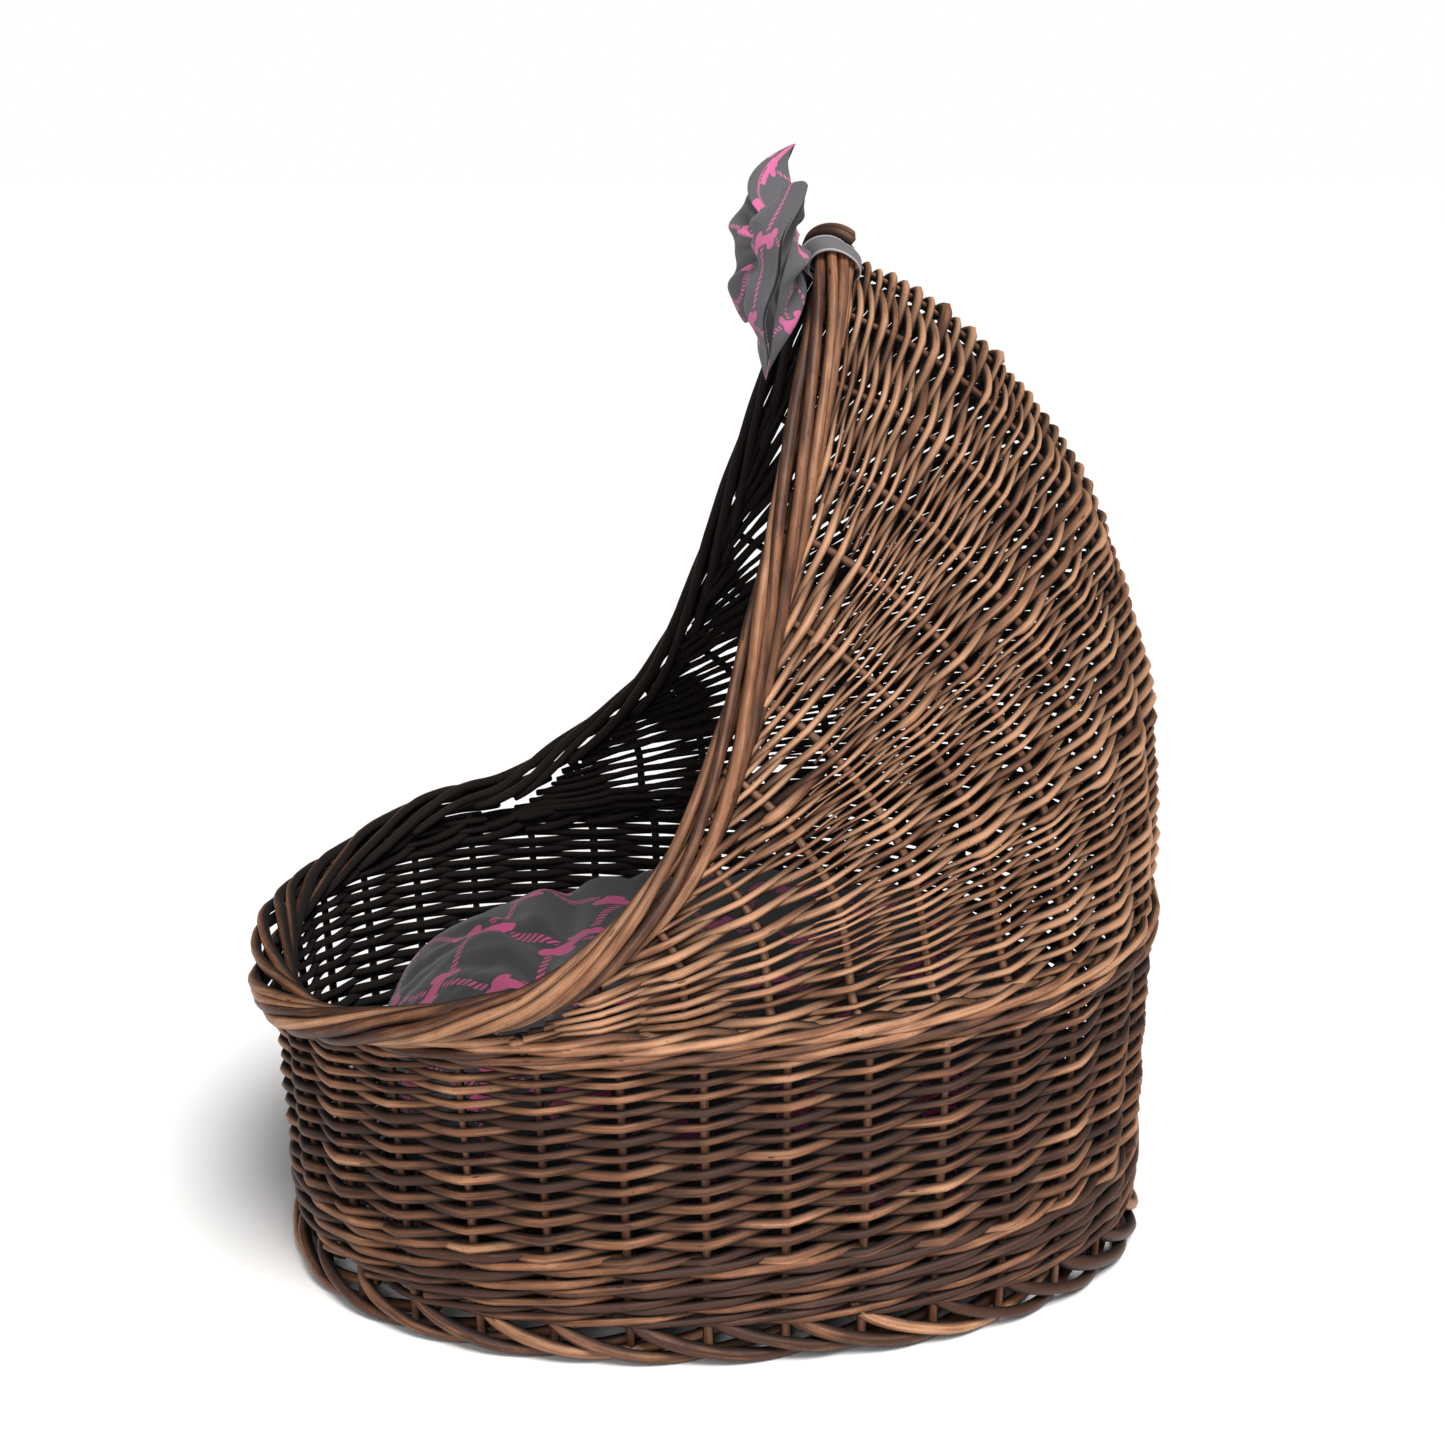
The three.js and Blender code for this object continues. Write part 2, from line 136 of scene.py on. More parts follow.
def outward(p):
    rise = np.maximum(0, p[..., 2] - SHOULDER["z"]) / 450**2
    x = p[..., 0] / SHOULDER["half_width"] ** 2
    y = (p[..., 1] - SHOULDER["y"]) / SHOULDER["half_length"] ** 2
    return unit(np.stack([x, y, rise], -1))


def smooth_curve(points):
    """A chordal Catmull-Rom curve as a function of the share of its length."""
    p = np.asarray(points, float)
    p = np.vstack([2 * p[0] - p[1], p, 2 * p[-1] - p[-2]])
    fine = []
    for i in range(1, len(p) - 2):
        a, b, c, d = p[i - 1 : i + 3]
        ab, bc, cd = (np.linalg.norm(v) for v in (b - a, c - b, d - c))
        start = ((b - a) / ab - (c - a) / (ab + bc) + (c - b) / bc) * bc
        end = ((c - b) / bc - (d - b) / (bc + cd) + (d - c) / cd) * bc
        t = np.linspace(0, 1, 60)[:, None]
        fine.append(b + start * t + (3 * (c - b) - 2 * start - end) * t**2
                    + (2 * (b - c) + start + end) * t**3)
    fine = np.vstack(fine)
    whole = lengths_along(fine)[-1]
    return lambda share: resample(fine, np.asarray(share) * whole)


def shoulder_corner():
    across = abs(CORNER_Y - SHOULDER["y"]) / SHOULDER["half_length"]
    x = SHOULDER["half_width"] * (1 - across**OVAL_POWER) ** (1 / OVAL_POWER)
    return [x, CORNER_Y, SHOULDER["z"] + SHOULDER["tilt"] * (CORNER_Y - SHOULDER["y"])]


hood_edge = smooth_curve([
    shoulder_corner(), (228, -110, 228), (232, -73, 259), (217, -43, 295),
    (192, -19, 335), (163, 7.5, 395), (136, 27.5, 462),
])
hood_spine = smooth_curve([
    wall(1, 0.0), (0, 300.5, 300), (0, 296.5, 368), (0, 279.5, 440),
    (0, 250.5, 510), (0, 206.5, 572), (0, 151.5, 622), (0, PEAK["y"], PEAK["z"]),
])


def hood_row(t, count=240):
    """Row t of the hood, a flat arc from the spine to the edge on side +X."""
    edge, spine = hood_edge([t])[0], hood_spine([t])[0]
    power = mix(OVAL_POWER, 1.5, t)
    widest = mix(0.34, -1, t)
    end_angle = math.acos(signed_power(-widest / (1 - widest), power / 2))
    half_width = edge[0] / math.sin(end_angle) ** (2 / power)
    angle = np.linspace(0, end_angle, count)
    along = widest + (1 - widest) * signed_power(np.cos(angle), 2 / power)
    x = half_width * np.abs(np.sin(angle)) ** (2 / power)
    return np.stack([x, mix(edge[1], spine[1], along), mix(edge[2], spine[2], along)], -1)


# The hood as a grid of points: rows t, and the distance from the spine in steps.
GRID_ROWS = 300
GRID_STEP = 2.5
GRID_REACH = 560
HOOD_T = np.linspace(0, 1, GRID_ROWS)
HOOD_D = np.arange(0, GRID_REACH, GRID_STEP)


def hood_grid():
    grid, ends = [], []
    for t in HOOD_T:
        row = hood_row(t)
        along = lengths_along(row)
        points = resample(row, HOOD_D)
        past = np.maximum(0, HOOD_D - along[-1])[:, None]
        points += past * unit(row[-1] - row[-3])
        grid.append(points)
        ends.append(along[-1])
    return np.array(grid), np.array(ends)


HOOD_GRID, HOOD_END = hood_grid()


def hood(t, distance, out=0.0):
    """The hood's point at row t and a signed distance from the spine (+ on side +X)."""
    t, distance = np.broadcast_arrays(np.asarray(t, float), np.asarray(distance, float))
    i = np.clip(t * (GRID_ROWS - 1), 0, GRID_ROWS - 1.001)
    j = np.clip(np.abs(distance) / GRID_STEP, 0, len(HOOD_D) - 1.001)
    i0, j0 = i.astype(int), j.astype(int)
    fi, fj = (i - i0)[..., None], (j - j0)[..., None]
    p = (HOOD_GRID[i0, j0] * (1 - fi) * (1 - fj) + HOOD_GRID[i0 + 1, j0] * fi * (1 - fj)
         + HOOD_GRID[i0, j0 + 1] * (1 - fi) * fj + HOOD_GRID[i0 + 1, j0 + 1] * fi * fj)
    p = p * np.stack([np.where(distance < 0, -1, 1), np.ones_like(t), np.ones_like(t)], -1)
    return p + outward(p) * np.asarray(out, float)[..., None]


def row_end(t):
    return np.interp(t, HOOD_T, HOOD_END)


# Distance from the spine of each place on the shoulder, for the stakes of the hood.
SHOULDER_PLACES = np.linspace(0, STAKES / 2, 400)
SHOULDER_REACH = lengths_along(wall(1, angle_at(-SHOULDER_PLACES)))


def spine_distance(place):
    """Signed distance from the spine of a place on the shoulder; places near STAKES."""
    from_back = STAKES - np.asarray(place, float)
    return np.sign(from_back) * np.interp(np.abs(from_back), SHOULDER_PLACES, SHOULDER_REACH)


def corner_place():
    places = np.linspace(0, STAKES / 2, 2000)
    ys = wall(1, angle_at(-places))[:, 1]
    return STAKES - float(np.interp(-CORNER_Y, -ys, places))


NEAR_CORNER = corner_place()              # the corner on side +X
FAR_CORNER = 2 * STAKES - NEAR_CORNER     # the corner on side -X, reached round the back


# ---------------------------------------------------------------- the border's line
def corner_angle():
    """The wall's angle at the corner on side +X."""
    across = (CORNER_Y - SHOULDER["y"]) / SHOULDER["half_length"]
    return math.acos(signed_power(across, OVAL_POWER / 2))


def rim_lift(share, side, y):
    """How far the rim's border stands above the shoulder: share 0 at the front, 1 at a corner.
    The rim dips a little on side +X and rises on side -X."""
    lift = mix(BORDER["front_lift"], BORDER["corner_lift"], smooth(share) ** 3)
    return lift - side * BORDER["tilt"] * smooth(-y, 110, 190)


def hooded_share(z):
    """0 at the shoulder, 1 where the border has taken its narrower form up the hood."""
    return smooth(z, SHOULDER["z"], SHOULDER["z"] + BORDER["rise"])


def hood_lift(z):
    return mix(BORDER["corner_lift"], BORDER["hood_lift"], hooded_share(z))


def border_line():
    """The closed line of the border's middle: front rim, near edge, arch and far edge."""
    share = np.linspace(0, 1, 60, endpoint=False)
    front = wall(1, mix(math.pi, corner_angle(), share))
    arch = hood_row(1, 400)[::-1]
    arch = resample(arch, np.linspace(0, lengths_along(arch)[-1], 60))
    upper = np.vstack([hood_edge(share), arch])
    half = np.vstack([front, upper])
    near, far = (np.concatenate([rim_lift(share, side, front[:, 1]), hood_lift(upper[:, 2])])
                 for side in (1, -1))
    line = np.vstack([half, (half[1:-1] * [-1, 1, 1])[::-1]])
    lift = np.concatenate([near, far[1:-1][::-1]])
    tangent = unit(np.roll(line, -1, 0) - np.roll(line, 1, 0))
    normal = outward(line)
    normal = unit(normal - tangent * (normal * tangent).sum(-1, keepdims=True))
    away = unit(np.cross(normal, tangent))
    centre = line + normal * BORDER["out"] + away * lift[:, None]
    return centre, normal, away, hooded_share(line[:, 2])[:, None]


class BorderFrames:
    """The border's middle line, closed and smoothed, looked up by distance along it."""

    def __init__(self):
        parts = [np.vstack([p, p[:1]]) for p in border_line()]
        along = lengths_along(parts[0])
        self.whole = along[-1]
        self.even = np.linspace(0, self.whole, 901)
        window = np.hanning(33)
        window /= window.sum()
        margin = 40
        self.parts = []
        for p in parts:
            q = interpolate(self.even[:-1], along, p)
            wide = np.vstack([q[-margin:], q, q[:margin]])
            q = np.stack([np.convolve(column, window, "same") for column in wide.T], -1)[margin:-margin]
            self.parts.append(np.vstack([q, q[:1]]))

    def at(self, s):
        """The middle, the outward and upward directions and the hooded share at distances s."""
        s = np.mod(s, self.whole)
        centre, normal, away, hooded = (interpolate(s, self.even, part) for part in self.parts)
        return centre, unit(normal), unit(away), hooded[:, 0]

    def around(self, s, half_width, half_height, turn):
        """Points on an oval round the middle line, one at each s and turn, and their directions."""
        centre, normal, away, _ = self.at(s)
        cos, sin = np.cos(turn)[:, None], np.sin(turn)[:, None]
        return centre + normal * half_width * cos + away * half_height * sin, normal * cos + away * sin


border = BorderFrames()


# ---------------------------------------------------------------- rods
CAP_LENGTH, CAP_WIDTH = 0.35, 0.72  # a rod's rounded end, as shares of its radius


class Bundle:
    """Rods gathered into one mesh, with what the willow material needs at each vertex."""

    def __init__(self):
        self.points, self.faces = [], []
        self.grain, self.tone, self.shade = [], [], []
        self.count = 0

    def rod(self, path, radius, normal, sides=7, tone=None, dark=0.0):
        """Sweeps a round section along path. normal is any rough outward direction."""
        path = np.asarray(path, float)
        n = len(path)
        if n < 3:
            return
        radius = np.broadcast_to(np.asarray(radius, float), (n,)).copy()
        tangent = unit(np.gradient(path, axis=0))
        normal = unit(normal - tangent * (normal * tangent).sum(-1, keepdims=True))
        side = np.cross(tangent, normal)
        # Rounded ends: one extra, smaller ring just past each end.
        path = np.vstack([path[0] - tangent[0] * radius[0] * CAP_LENGTH, path,
                          path[-1] + tangent[-1] * radius[-1] * CAP_LENGTH])
        radius = np.concatenate([[radius[0] * CAP_WIDTH], radius, [radius[-1] * CAP_WIDTH]])
        normal = np.vstack([normal[:1], normal, normal[-1:]])
        side = np.vstack([side[:1], side, side[-1:]])
        n += 2
        tone = rng.random() if tone is None else tone
        along = lengths_along(path)
        offset = rng.random() * 1000
        phase = rng.random() * 2 * math.pi
        turn = 2 * math.pi * np.arange(sides) / sides
        cos, sin = np.cos(turn), np.sin(turn)
        wobble = 1 + 0.05 * np.sin(along / 23 + phase) + 0.035 * np.sin(along / 9.1 + 2 * phase)
        r = (radius * wobble)[:, None, None]
        facing = normal[:, None] * cos[None, :, None] + side[:, None] * sin[None, :, None]
        ring = (path[:, None] + r * cos[None, :, None] * normal[:, None]
                + r * sin[None, :, None] * side[:, None])
        self.points.append(ring.reshape(-1, 3))
        spin = turn + phase
        grain = np.empty((n, sides, 3))
        grain[..., 0] = (along + offset)[:, None]
        grain[..., 1] = radius[:, None] * np.cos(spin)
        grain[..., 2] = radius[:, None] * np.sin(spin)
        self.grain.append(grain.reshape(-1, 3))
        self.tone.append(np.full(n * sides, tone))
        # Painted shade: darker on the side that faces into the basket, and along the rod by dark.
        painted_inward_shade = 0.5 - 0.5 * (facing * outward(path)[:, None]).sum(-1)
        painted_shade_line = np.broadcast_to(np.asarray(dark, float), (n - 2,))
        painted_shade_line = np.concatenate([painted_shade_line[:1], painted_shade_line, painted_shade_line[-1:]])
        # Painted shade: the flanks, where rods touch, are darker than the face; the lower one most of all.
        painted_flank_shade = np.abs(sin[None, :]) ** 3 * (0.16 + 0.3 * np.clip(-facing[..., 2], 0, 1))
        shade = np.clip(mix(np.maximum(painted_inward_shade, painted_flank_shade), 1, painted_shade_line[:, None]), 0, 1)
        self.shade.append(shade.reshape(-1))
        base = self.count
        i = np.arange(n - 1)[:, None] * sides
        j = np.arange(sides)[None, :]
        k = (j + 1) % sides
        quads = np.stack([i + j, i + k, i + sides + k, i + sides + j], -1).reshape(-1, 4) + base
        self.faces += [tuple(q) for q in quads.tolist()]
        self.faces.append(tuple(range(base + sides - 1, base - 1, -1)))
        last = base + (n - 1) * sides
        self.faces.append(tuple(range(last, last + sides)))
        self.count += n * sides

    def build(self, name, slot, material, nodes=()):
        mesh = bpy.data.meshes.new(name)
        mesh.from_pydata((np.vstack(self.points) * MM).tolist(), [], self.faces)
        dress(mesh, material, grain=np.vstack(self.grain), tone=np.concatenate(self.tone),
              shade=np.concatenate(self.shade))
        mesh.update()
        return place(name, mesh, slot, "basket", nodes)


def dress(mesh, material, **attributes):
    """Gives a mesh its material, smooth shading and the values that the material reads."""
    for name, values in attributes.items():
        values = np.asarray(values, np.float32)
        is_vector = values.ndim > 1 and values.shape[-1] == 3
        attribute = mesh.attributes.new(name, "FLOAT_VECTOR" if is_vector else "FLOAT", "POINT")
        attribute.data.foreach_set("vector" if is_vector else "value", values.ravel())
    mesh.polygons.foreach_set("use_smooth", [True] * len(mesh.polygons))
    mesh.materials.clear()
    mesh.materials.append(material)


def add_object(name, data):
    obj = bpy.data.objects.new(name, data)
    bpy.context.scene.collection.objects.link(obj)
    return obj


def place(name, mesh, slot, body, nodes=()):
    obj = add_object(name, mesh)
    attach(obj, body)
    if nodes:
        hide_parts(*nodes)
    return obj


def build_all(bundles, stem, slot, material, node):
    """Builds the bundles as numbered pieces, the first of which stands for the CAD node."""
    digits = len(str(len(bundles)))
    for i, bundle in enumerate(bundles):
        nodes = (node,) if i == 0 else ()
        if bundle.count:
            bundle.build(f"{stem}_{i + 1:0{digits}d}", slot, material, nodes)


def runs(keep):
    """The index ranges where keep is true."""
    edges = np.flatnonzero(np.diff(np.concatenate([[0], keep.astype(int), [0]])))
    return list(zip(edges[::2], edges[1::2]))


def drift(n, size, reach=9):
    """A slow random wander of about size, the same each run."""
    knots = rng.normal(0, size, max(2, n // reach + 2))
    return np.interp(np.linspace(0, len(knots) - 1, n), np.arange(len(knots)), knots)


# ---------------------------------------------------------------- materials
class Graph:
    """Short calls for building one material's nodes."""

    def __init__(self, name):
        self.material = bpy.data.materials.new(name)
        self.material.use_nodes = True
        self.tree = self.material.node_tree
        self.shader = self.tree.nodes["Principled BSDF"]

    def node(self, kind, inputs=None, **settings):
        made = self.tree.nodes.new(kind)
        for key, value in settings.items():
            setattr(made, key, value)
        for key, value in (inputs or {}).items():
            self.put(made.inputs[key], value)
        return made

    def put(self, socket, value):
        if isinstance(value, bpy.types.NodeSocket):
            self.tree.links.new(value, socket)
        else:
            socket.default_value = value

    def set(self, name, value):
        self.put(self.shader.inputs[name], value)

    def math(self, operation, *values, clamp=False):
        made = self.node("ShaderNodeMath", operation=operation, use_clamp=clamp)
        for i, value in enumerate(values):
            self.put(made.inputs[i], value)
        return made.outputs[0]

    def plus(self, a, b):
        return self.math("ADD", a, b)

    def minus(self, a, b):
        return self.math("SUBTRACT", a, b)

    def times(self, a, b):
        return self.math("MULTIPLY", a, b)

    def scale_add(self, value, factor, addend, clamp=False):
        return self.math("MULTIPLY_ADD", value, factor, addend, clamp=clamp)

    def attribute(self, name, output="Fac"):
        return self.node("ShaderNodeAttribute", attribute_name=name).outputs[output]

    def stretched(self, vector, factors):
        made = self.node("ShaderNodeVectorMath", {0: vector, 1: factors}, operation="MULTIPLY")
        return made.outputs[0]

    def ramp(self, value, stops):
        made = self.node("ShaderNodeValToRGB", {"Fac": value})
        points = made.color_ramp.elements
        while len(points) < len(stops):
            points.new(0.5)
        for point, (position, colour) in zip(points, stops):
            point.position = position
            point.color = (*colour, 1)
        return made.outputs["Color"]

    def mix(self, share, a, b):
        made = self.node("ShaderNodeMix", {"Factor": share}, data_type="RGBA")
        for key, value in ((6, a), (7, b)):
            self.put(made.inputs[key], (*value, 1) if isinstance(value, tuple) else value)
        return made.outputs[2]

    def noise(self, vector, factors, detail, roughness=0.55):
        made = self.node("ShaderNodeTexNoise", {
            "Vector": self.stretched(vector, factors), "Scale": 1.0, "Detail": detail,
            "Roughness": roughness,
        })
        return made.outputs["Fac"]

    def spots(self, vector, factors, radius):
        """1 inside scattered spots, 0 between them."""
        made = self.node("ShaderNodeTexVoronoi", {
            "Vector": self.stretched(vector, factors), "Scale": 1.0, "Randomness": 1.0,
        })
        return self.math("LESS_THAN", made.outputs["Distance"], radius)

    def bump(self, height, strength, distance):
        made = self.node("ShaderNodeBump", {
            "Height": height, "Strength": strength, "Distance": distance,
        })
        self.set("Normal", made.outputs[0])


PAINTED_SHADE_RAMP = [(0.03, 0.0), (0.16, 0.25), (0.38, 0.78), (0.62, 1.0)]  # painted shade: the shade value, and how far the colour goes to the darkest


def scaled(colour, factor):
    return tuple(c * factor for c in colour)


def willow(name, dark, middle, light, rough=0.5):
    """Stained, peeled willow: streaks along the rod, freckles, worn paler patches, and painted shade where
    the shade attribute is high.
    """
    g = Graph(name)
    grain = g.attribute("grain", "Vector")
    streak = g.noise(grain, (0.012, 0.55, 0.55), 4.0, 0.6)
    cloud = g.noise(grain, (0.035, 0.12, 0.12), 3.0)
    fine = g.noise(grain, (0.12, 2.4, 2.4), 2.0, 0.7)
    level = g.scale_add(streak, 0.55, g.times(cloud, 0.45))
    level = g.scale_add(level, 1.5, -0.25)
    level = g.plus(level, g.scale_add(g.attribute("tone"), 0.5, -0.25))
    level = g.scale_add(fine, 0.16, g.minus(level, 0.08), clamp=True)
    colour = g.ramp(level, [(0.22, dark), (0.5, middle), (0.8, light)])
    # Small dark freckles and a few larger scars of side shoots.
    dots = g.spots(grain, (0.22, 0.42, 0.42), 0.13)
    scars = g.spots(grain, (0.03, 0.14, 0.14), 0.085)
    patch = g.math("GREATER_THAN", cloud, 0.5)
    marks = g.math("MAXIMUM", g.times(dots, patch), scars)
    colour = g.mix(g.times(marks, 0.75), colour, scaled(dark, 0.28))
    # Painted shade: darker between the rods, on their lower flanks, behind the stakes and on the side that
    # faces into the basket.
    depth = g.ramp(g.attribute("shade"), [(at, (grey,) * 3) for at, grey in PAINTED_SHADE_RAMP])
    colour = g.mix(depth, colour, scaled(dark, 0.08))
    g.set("Base Color", colour)
    roughness = g.scale_add(streak, 0.3, rough - 0.15)
    dull = g.node("ShaderNodeSeparateColor", {"Color": depth}).outputs[0]
    g.set("Roughness", g.scale_add(dull, 0.45, roughness, clamp=True))
    g.set("Specular IOR Level", 0.34)
    g.bump(g.scale_add(fine, 0.6, streak), 0.35, 0.0006)
    return g.material


def bone_distance(g, x, y):
    """Distance in millimetres to a plain bone shape that lies along x."""
    ax, ay = g.math("ABSOLUTE", x), g.math("ABSOLUTE", y)
    past = g.math("MAXIMUM", g.minus(ax, 8.0), 0.0)
    waist = g.scale_add(ax, 0.12, 3.4)
    shaft = g.minus(g.math("SQRT", g.plus(g.math("POWER", past, 2.0),
                                                     g.math("POWER", ay, 2.0))), waist)
    dx, dy = g.minus(ax, 10.2), g.minus(ay, 4.3)
    knob = g.math("SQRT", g.plus(g.math("POWER", dx, 2.0), g.math("POWER", dy, 2.0)))
    return g.math("MINIMUM", shaft, g.minus(knob, 4.5))


def rope_net(g, u, v, cell, size):
    """The print: a net of twisted ropes, sagging a little, with a bone at each of its knots."""
    def sagging(value, other):
        wave = g.math("SINE", g.times(other, 2 * math.pi / cell))
        return g.plus(value, g.times(wave, 4.0))

    def counted(value):
        share = g.math("DIVIDE", value, cell)
        whole = g.math("ROUND", share)
        return whole, g.times(g.minus(share, whole), cell)

    def rope(across, along):
        band = g.math("LESS_THAN", g.math("ABSOLUTE", across), 2.1 * size)
        shifted = g.math("ABSOLUTE", g.plus(along, g.plus(across, 900)))
        twist = g.math("MODULO", shifted, 4.6 * size)
        return g.times(band, g.math("LESS_THAN", twist, 2.5 * size))

    column, x = counted(sagging(u, v))
    row, y = counted(sagging(v, u))
    odd = g.math("ABSOLUTE", g.math("MODULO", g.plus(column, row), 2.0))

    def turned(kept, other):
        """The bones lie along x at even knots and along y at odd ones."""
        even = g.times(kept, g.minus(1.0, odd))
        return g.math("DIVIDE", g.plus(even, g.times(other, odd)), size)

    distance = bone_distance(g, turned(x, y), turned(y, x))
    bone = g.math("LESS_THAN", distance, 0.0)
    ropes = g.math("MAXIMUM", rope(x, v), rope(y, u))
    return g.math("MAXIMUM", bone, g.times(ropes, g.math("GREATER_THAN", distance, 2.2)))


def twill(name, ground, pink, cell=0.0, size=1.0, edges=False):
    """Grey twill. cell is the spacing of the printed net, or 0 for plain cloth, and size scales
    its bones and ropes. edges adds a coloured selvage and a dark seam."""
    g = Graph(name)
    cloth = g.attribute("cloth", "Vector")
    split = g.node("ShaderNodeSeparateXYZ", {"Vector": cloth})
    u, v = split.outputs[0], split.outputs[1]
    print_mask = rope_net(g, u, v, cell, size) if cell else 0.0
    if edges:
        selvage = g.attribute("selvage")
        print_mask = g.math("MAXIMUM", print_mask, g.math("GREATER_THAN", selvage, 0.5))
    # Fine diagonal ribs, with slubs and slight fading.
    rib = g.math("SINE", g.times(g.plus(u, g.times(v, 0.6)), 6.6))
    thread = g.math("SINE", g.times(g.minus(v, g.times(u, 0.3)), 9.5))
    weave = g.scale_add(rib, 0.7, g.times(thread, 0.3))
    cloud = g.noise(cloth, (0.02, 0.02, 0.02), 4.0)
    slub = g.noise(cloth, (0.9, 3.0, 1.0), 2.0)
    base = g.mix(g.scale_add(weave, 0.14, g.times(slub, 0.5), clamp=True),
                 scaled(ground, 0.74), scaled(ground, 1.3))
    base = g.mix(g.times(cloud, 0.3), base, scaled(ground, 0.8))
    tint = g.mix(g.scale_add(weave, 0.2, 0.5, clamp=True), scaled(pink, 0.82), scaled(pink, 1.12))
    colour = g.mix(print_mask, base, tint)
    if edges:
        colour = g.mix(g.math("LESS_THAN", selvage, -0.6), colour, scaled(ground, 0.16))
    g.set("Base Color", colour)
    g.set("Roughness", 0.88)
    g.set("Sheen Weight", 0.14)
    g.set("Sheen Roughness", 0.5)
    g.set("Specular IOR Level", 0.25)
    g.bump(g.scale_add(weave, 0.5, slub), 0.22, 0.0005)
    return g.material


WILLOW = willow("willow_rods", (0.05, 0.018, 0.009), (0.24, 0.097, 0.044), (0.56, 0.29, 0.16))
WILLOW_BORDER = willow("willow_border_rods", (0.055, 0.02, 0.01), (0.24, 0.1, 0.046),
                       (0.52, 0.27, 0.145), rough=0.44)
WILLOW_STAKE = willow("willow_stake_rods", (0.045, 0.017, 0.009), (0.14, 0.058, 0.028), (0.3, 0.15, 0.085))
# Painted shade: the cushion's twill is the bow's cloth painted far darker, as the cushion lies in shade
# under the hood.
CUSHION_CLOTH_PAINTED_SHADE = twill("printed_twill", (0.031, 0.03, 0.033), (0.33, 0.05, 0.135), cell=78.0, size=1.35)
BOW_CLOTH = twill("printed_twill_bow", (0.125, 0.12, 0.132), (0.62, 0.15, 0.32),
                  cell=56.0, size=0.74, edges=True)
RIBBON_CLOTH = twill("woven_tape", (0.16, 0.155, 0.165), (0.42, 0.4, 0.41), edges=True)


# ---------------------------------------------------------------- weaving
def stroke(rows):
    """1 in front of the stakes at even rows, -1 behind them at odd rows."""
    x = np.abs((rows + 1) % 2 - 1)
    return 1 - 2 * mix(x, smooth(x), 0.45)


def hidden(front):
    """Painted shade on a rod where it lies behind the stakes; front is 1 before them, -1 behind."""
    return 0.42 * (1 - front) / 2


def uneven_climb(rows, share=0.26):
    """A rod climbs steeply as it goes behind and is nearly level as it comes out."""
    bent = np.abs(rows % 2 - 1)
    return rows + share * mix(1 - bent, np.sin(math.pi * rows / 2) ** 2, 0.25)


def border_height(place):
    """Height of the middle of the rim's border over a place of the front wall."""
    angle = np.mod(angle_at(place), 2 * math.pi)
    side = np.where(angle < math.pi, 1, -1)
    angle = np.minimum(angle, 2 * math.pi - angle)
    share = np.clip((math.pi - angle) / (math.pi - corner_angle()), 0, 1)
    shoulder = wall(1, angle)
    return shoulder[..., 2] + rim_lift(share, side, shoulder[..., 1])


def is_front(place):
    return wall(1, angle_at(place))[..., 1] < CORNER_Y


def siding_height(row):
    return SIDING[0] + 6.7 * row - 0.047 * row**2


def lower_siding():
    """French randing: a rod starts behind every stake and climbs one row a stake."""
    groups = 12
    bundles = [Bundle() for _ in range(groups)]
    for k in range(STAKES):
        row = np.arange(-1, 31, 1 / STEPS)
        spot = k + row
        height = siding_height(uneven_climb(row)) + drift(len(row), 0.35, 20)
        radius = mix(3.5, 2.25, np.clip(row / 28, 0, 1)) * (1 + 0.1 * rng.normal())
        swing = (STAKE_RADIUS + radius - 0.5) * (1 + drift(len(row), 0.06, 15))
        out = STAKE_OUT + swing * stroke(row)
        path = wall(height / SHOULDER["z"], angle_at(spot), out)
        front = is_front(spot)
        keep = np.where(front, path[:, 2] < border_height(spot) - 1, height < SIDING[1] + 1)
        keep &= height > SIDING[0] - 5
        for first, last in runs(keep):
            if last - first > STEPS:
                part = path[first:last]
                # Painted shade behind the stakes; the siding's tones are set low, painted darker than the
                # hood's, as the walls get less light.
                bundles[k % groups].rod(part, radius[first:last], outward(part),
                                    dark=hidden(stroke(row[first:last])), tone=rng.uniform(-0.25, 0.75))
    build_all(bundles, "siding_rods", "willow_weave", WILLOW, "lower_siding")


